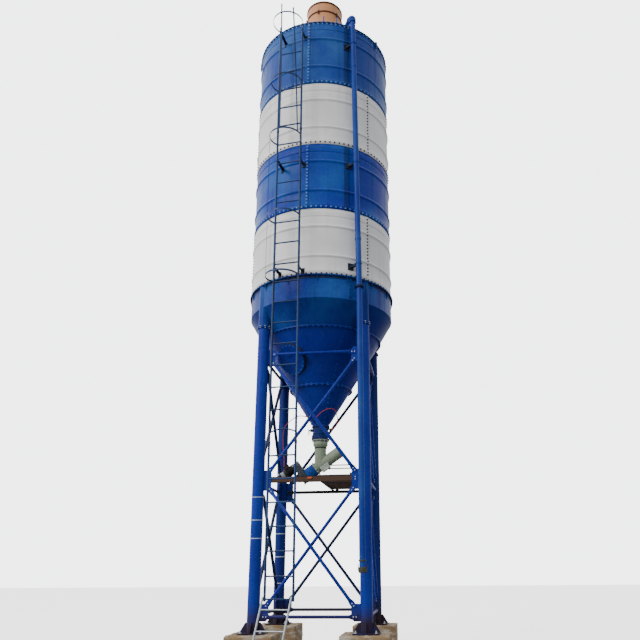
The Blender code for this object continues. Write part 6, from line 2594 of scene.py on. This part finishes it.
@dataclass
class AirLine:
    """Air hose for the fluidising pads, from the cone's socket to the regulator on the rear left leg."""

    radius: float = 0.008
    spacing: float = 0.045
    route: tuple = (
        (0.2052, -0.055, 4.020), (0.240, -0.064, 4.020), (0.301, -0.090, 4.061), (0.345, -0.130, 4.148),
        (0.348, -0.180, 4.216), (0.329, -0.240, 4.298), (0.293, -0.280, 4.351), (0.224, -0.330, 4.357),
        (0.137, -0.350, 4.327), (0.052, -0.340, 4.278), (-0.039, -0.310, 4.211), (-0.203, -0.250, 4.226),
        (-0.372, -0.150, 4.273), (-0.541, 0.050, 4.273), (-0.745, 0.320, 4.199), (-0.850, 0.560, 4.090),
        (-0.880, 0.720, 3.863), (-0.872, 0.785, 3.631), (-0.870, 0.800, 3.450), (-0.870, 0.800, 3.3404),
    )
    leg: tuple = (-0.935, 0.935)
    leg_radius: float = 0.103

    def build(self) -> list[bpy.types.Object]:
        """Lay the hose, put its fittings on and hang the regulator.

        Returns:
            The pieces.
        """
        path = smooth_route(self.route, self.spacing)
        fine = smooth_route(self.route, self.spacing / 3)
        sketch = Sketch().tube(fine, self.radius, 16)
        hose = sketch.fit("red_air_hose", Paint.HOSE_RED, "hose_red_rubber", "air_hose", sharp=60)
        fittings = self.fittings(path)
        return [hose, *fittings, *self.regulator()]

    def fittings(self, path: Sequence[Vector]) -> list[bpy.types.Object]:
        """Ferrules at both ends and the in-line check valve.

        Args:
            path: The hose's points.

        Returns:
            The pieces on the hose.
        """
        ends = Sketch()
        ends.tube([path[0] + (path[1] - path[0]) * share for share in (-0.01, 0.30, 0.55, 0.90)],
                  [0.0135, 0.0135, 0.0110, 0.0092], 20)
        ends.tube([path[-1] + (path[-2] - path[-1]) * share for share in (0.0, 0.30, 0.55, 0.90)],
                  [0.0135, 0.0135, 0.0110, 0.0092], 20)
        spot = min(range(len(path)), key=lambda i: (path[i] - Vector((-0.150, -0.268, 4.222))).length)
        run = (path[spot + 1] - path[spot - 1]).normalized()
        middle = path[spot]
        check = Sketch().bar(middle - run * 0.070, middle - run * 0.012, 0.0220, 24)
        check.bar(middle - run * 0.014, middle + run * 0.004, 0.0260, 6)
        pale = Sketch().bar(middle + run * 0.003, middle + run * 0.052, 0.0190, 24)
        pale.bar(middle + run * 0.050, middle + run * 0.068, 0.0140, 24)
        return [
            ends.fit("air_hose_ferrules", Paint.BRASS, "bare_steel"),
            check.fit("air_hose_check_valve", Paint.RUBBER_BLACK, "lever_black_steel"),
            pale.fit("air_hose_check_cap", Paint.RUBBER_BLACK, "lever_black_steel"),
        ]

    def regulator(self) -> list[bpy.types.Object]:
        """The regulator with its bowl, gauge, knob and bracket on the leg.

        Returns:
            The pieces.
        """
        port = Vector(self.route[-1])
        drop = Vector((0, 0, 1))
        top = port - drop * 0.0004
        sketch = Sketch()
        sketch.turned([
            (0.0, -0.104), (0.016, -0.103), (0.022, -0.098), (0.024, -0.090), (0.024, -0.056), (0.031, -0.052),
            (0.034, -0.048), (0.034, -0.020), (0.030, -0.014), (0.018, -0.011), (0.018, -0.001), (0.0, -0.001),
        ], 48, shifted(top))
        leg = Vector((*self.leg, 0))
        towards = math.atan2(leg.y - port.y, leg.x - port.x)
        turn = Matrix.Rotation(towards, 4, "Z")
        near = math.hypot(leg.x - port.x, leg.y - port.y) - self.leg_radius
        start = Vector((port.x, port.y, port.z - 0.035)) + turn @ Vector((0.020, 0, 0))
        arm_length = near - 0.020 + 0.002
        arm = shifted(start + turn @ Vector((arm_length / 2, 0, 0))) @ turn
        sketch.block((arm_length, 0.030, 0.036), arm, 0.003)
        band = Sketch().turned([
            (self.leg_radius - 0.0005, -0.012), (self.leg_radius + 0.002, -0.012), (self.leg_radius + 0.002, 0.012),
            (self.leg_radius - 0.0005, 0.012),
        ], 64, shifted((leg.x, leg.y, port.z - 0.035)))
        gauge = Sketch()
        face = Vector((0, -1, 0))
        gauge.bar(Vector((port.x, port.y, port.z - 0.034)) + face * 0.030,
                  Vector((port.x, port.y, port.z - 0.034)) + face * 0.042, 0.008, 16)
        gauge.disc(Vector((port.x, port.y, port.z - 0.034)) + face * 0.040, face, 0.021, 0.016, 40, edge=0.003)
        knob = Sketch().turned([
            (0.0, 0.0), (0.020, 0.0), (0.022, 0.004), (0.020, 0.028), (0.016, 0.032), (0.0, 0.032),
        ], 24, shifted((port.x + 0.034, port.y, port.z - 0.034)) @ Matrix.Rotation(math.pi / 2, 4, "Y"))
        return [
            sketch.fit("air_regulator_body", Paint.ALUMINIUM, "bare_steel", "air_regulator"),
            band.fit("air_regulator_band", Paint.ZINC, "bare_steel"),
            gauge.fit("air_regulator_gauge", Paint.RUBBER_BLACK, "lever_black_steel"),
            knob.fit("air_regulator_knob", Paint.ORANGE, "hose_red_rubber"),
        ]


def smooth_route(points: Sequence[Point], spacing: float) -> list[Vector]:
    """Even points along a smooth curve through the given ones.

    Args:
        points: The given points.
        spacing: Distance between the points that are returned, in metres.

    Returns:
        The points, the first and last as given.
    """
    points = [Vector(p) for p in points]
    padded = [points[0] * 2 - points[1], *points, points[-1] * 2 - points[-2]]
    dense = []
    for a, b, c, d in zip(padded, padded[1:], padded[2:], padded[3:]):
        for step in range(20):
            t = step / 20
            dense.append(0.5 * (2 * b + (c - a) * t + (2 * a - 5 * b + 4 * c - d) * t * t
                                + (3 * b - a - 3 * c + d) * t**3))
    dense.append(points[-1])
    total = sum((q - p).length for p, q in zip(dense, dense[1:]))
    count = round(total / spacing)
    even, travelled, wanted = [dense[0]], 0.0, total / count
    for p, q in zip(dense, dense[1:]):
        length = (q - p).length
        while travelled + length >= wanted * len(even) and len(even) < count:
            even.append(p.lerp(q, (wanted * len(even) - travelled) / length))
        travelled += length
    even.append(dense[-1])
    return even


@dataclass
class Studio:
    """Pale floor, soft lights and the camera at the photograph's view."""

    eye: tuple = (2.0208, -12.21034, 1.525)
    forward: tuple = (-0.10023338, 0.94757843, 0.30339478)
    right: tuple = (0.99415466, 0.10767848, -0.0078654)
    up: tuple = (0.04012217, -0.30083295, 0.95283249)
    lens: float = 36.876
    shift: tuple = (-0.0594, 0.0594)
    floor_side: float = 90.0
    floor_glow: float = 1.6
    backdrop: float = 4.5
    # For x, y and z: two positions on the sky's sphere and its strength at both.
    sky: tuple = ((0, -1.0, 0.9, 1.8, 0.80), (1, -1.0, 1.0, 0.9, 1.1), (2, -0.6, 0.5, 0.22, 1.15))

    def camera(self) -> None:
        """Stand the camera where the photograph was taken."""
        lens = bpy.data.cameras.new("photo_view")
        lens.lens, lens.sensor_width = self.lens, 36.0
        lens.shift_x, lens.shift_y = self.shift
        lens.clip_end = 200.0
        made = linked("photo_view", lens)
        columns = [Vector(self.right), Vector(self.up), -Vector(self.forward)]
        turn = Matrix([[column[row] for column in columns] for row in range(3)]).to_4x4()
        made.matrix_world = shifted(Vector(self.eye) + SILO_AXIS) @ turn
        bpy.context.scene.camera = made

    def floor(self) -> None:
        """Lay the pale floor."""
        half = self.floor_side / 2
        mesh = bpy.data.meshes.new("pale_floor")
        mesh.from_pydata([(-half, -half, 0), (half, -half, 0), (half, half, 0), (-half, half, 0)], [], [(0, 1, 2, 3)])
        material, _, shader = blank_material("pale_floor")
        shader.inputs["Base Color"].default_value = linear("f4f3f0")
        shader.inputs["Roughness"].default_value = 0.9
        shader.inputs["Emission Color"].default_value = linear("ffffff")
        shader.inputs["Emission Strength"].default_value = self.floor_glow
        mesh.materials.append(material)
        made = linked("pale_floor", mesh)
        made.visible_diffuse = made.visible_glossy = False

    def light(self, name: str, place: Point, target: Point, size: float, power: float, colour: str) -> None:
        """Hang one soft light.

        Args:
            name: The light's name.
            place: Where it hangs.
            target: What it faces.
            size: Side of its square.
            power: Watts.
            colour: Hex colour.
        """
        lamp = bpy.data.lights.new(name, "AREA")
        lamp.shape, lamp.size, lamp.energy = "SQUARE", size, power
        lamp.color = linear(colour)[:3]
        made = linked(name, lamp)
        facing = (Vector(target) - Vector(place)).to_track_quat("-Z", "Y")
        made.matrix_world = shifted(Vector(place)) @ facing.to_matrix().to_4x4()

    def lights(self) -> None:
        """A white backdrop, a soft sky that is brightest up and to the left, and a broad key from the left front."""
        world = bpy.data.worlds.new("studio_sky")
        world.use_nodes = True
        bpy.context.scene.world = world
        tree = world.node_tree
        way = add_node(tree, "ShaderNodeTexCoord").outputs["Generated"]
        axes = add_node(tree, "ShaderNodeSeparateXYZ", {0: way}).outputs
        glow = 1.0
        for axis, first, last, low, high in self.sky:
            share = add_node(tree, "ShaderNodeMapRange", {
                "Value": axes[axis], "From Min": first, "From Max": last, "To Min": low, "To Max": high,
            }, interpolation_type="SMOOTHSTEP")
            glow = add_node(tree, "ShaderNodeMath", {0: share.outputs[0], 1: glow}, operation="MULTIPLY").outputs[0]
        seen = add_node(tree, "ShaderNodeLightPath").outputs["Is Camera Ray"]
        strength = add_node(tree, "ShaderNodeMix", {0: seen, 2: glow, 3: self.backdrop}).outputs[0]
        sky = tree.nodes["Background"]
        sky.inputs["Color"].default_value = linear("fbfcff")
        tree.links.new(strength, sky.inputs["Strength"])
        self.light("key", (-15, -17, 17), (0, 0, 7.5), 8.0, 3000, "fff8ee")

    def build(self) -> None:
        """Set everything that isn't the silo."""
        self.camera()
        self.floor()
        self.lights()


def report(group: str, pieces: Sequence[bpy.types.Object]) -> None:
    """Log the pieces of one sub-assembly.

    Args:
        group: The sub-assembly's name.
        pieces: Its pieces.
    """
    for piece in pieces:
        logging.info("%s: %s, %d faces", group, piece.name, len(piece.data.polygons))


def main() -> None:
    """Set up the studio, then build the silo's pieces in order and log them."""
    logging.basicConfig(level=logging.INFO, format="%(message)s")
    Studio().build()
    report("air line", AirLine().build())
    shop = Workshop()
    build_units(shop)
    pipe, line = FillPipe(), LadderLine()
    report("plinths", Plinths().build())
    report("legs", Legs().build(shop))
    report("bracing", Bracing().build(shop))
    report("shell", Shell().build(shop))
    report("roof", Roof().build(shop, pipe))
    report("filter", DustFilter().build())
    report("skirt", Skirt().build(shop))
    report("hopper", HopperCone("middle", "hopper_middle", 5.730, 1.140, 4.775, 0.567, 1.181, 0.608, 72, 36, -59.0, 10)
           .build(shop))
    report("hopper", HopperCone("lower", "hopper_lower", 4.775, 0.567, 4.080, 0.140, 0.608, 0.168, 36, 12, -61.0, 8)
           .build(shop))
    report("manhole", Manhole().build(shop))
    report("valve", ButterflyValve().build(shop))
    report("feeder", ScrewFeeder().build(shop))
    report("fill pipe", pipe.build(shop))
    report("ladder", Ladder(line).build(shop))
    report("cage", Cage(line).build(shop))
    report("lower ladder", LowerLadder(line).build())
    report("deck", ServiceDeck().build(shop))
    shop.clear()


if __name__ == "__main__":
    main()
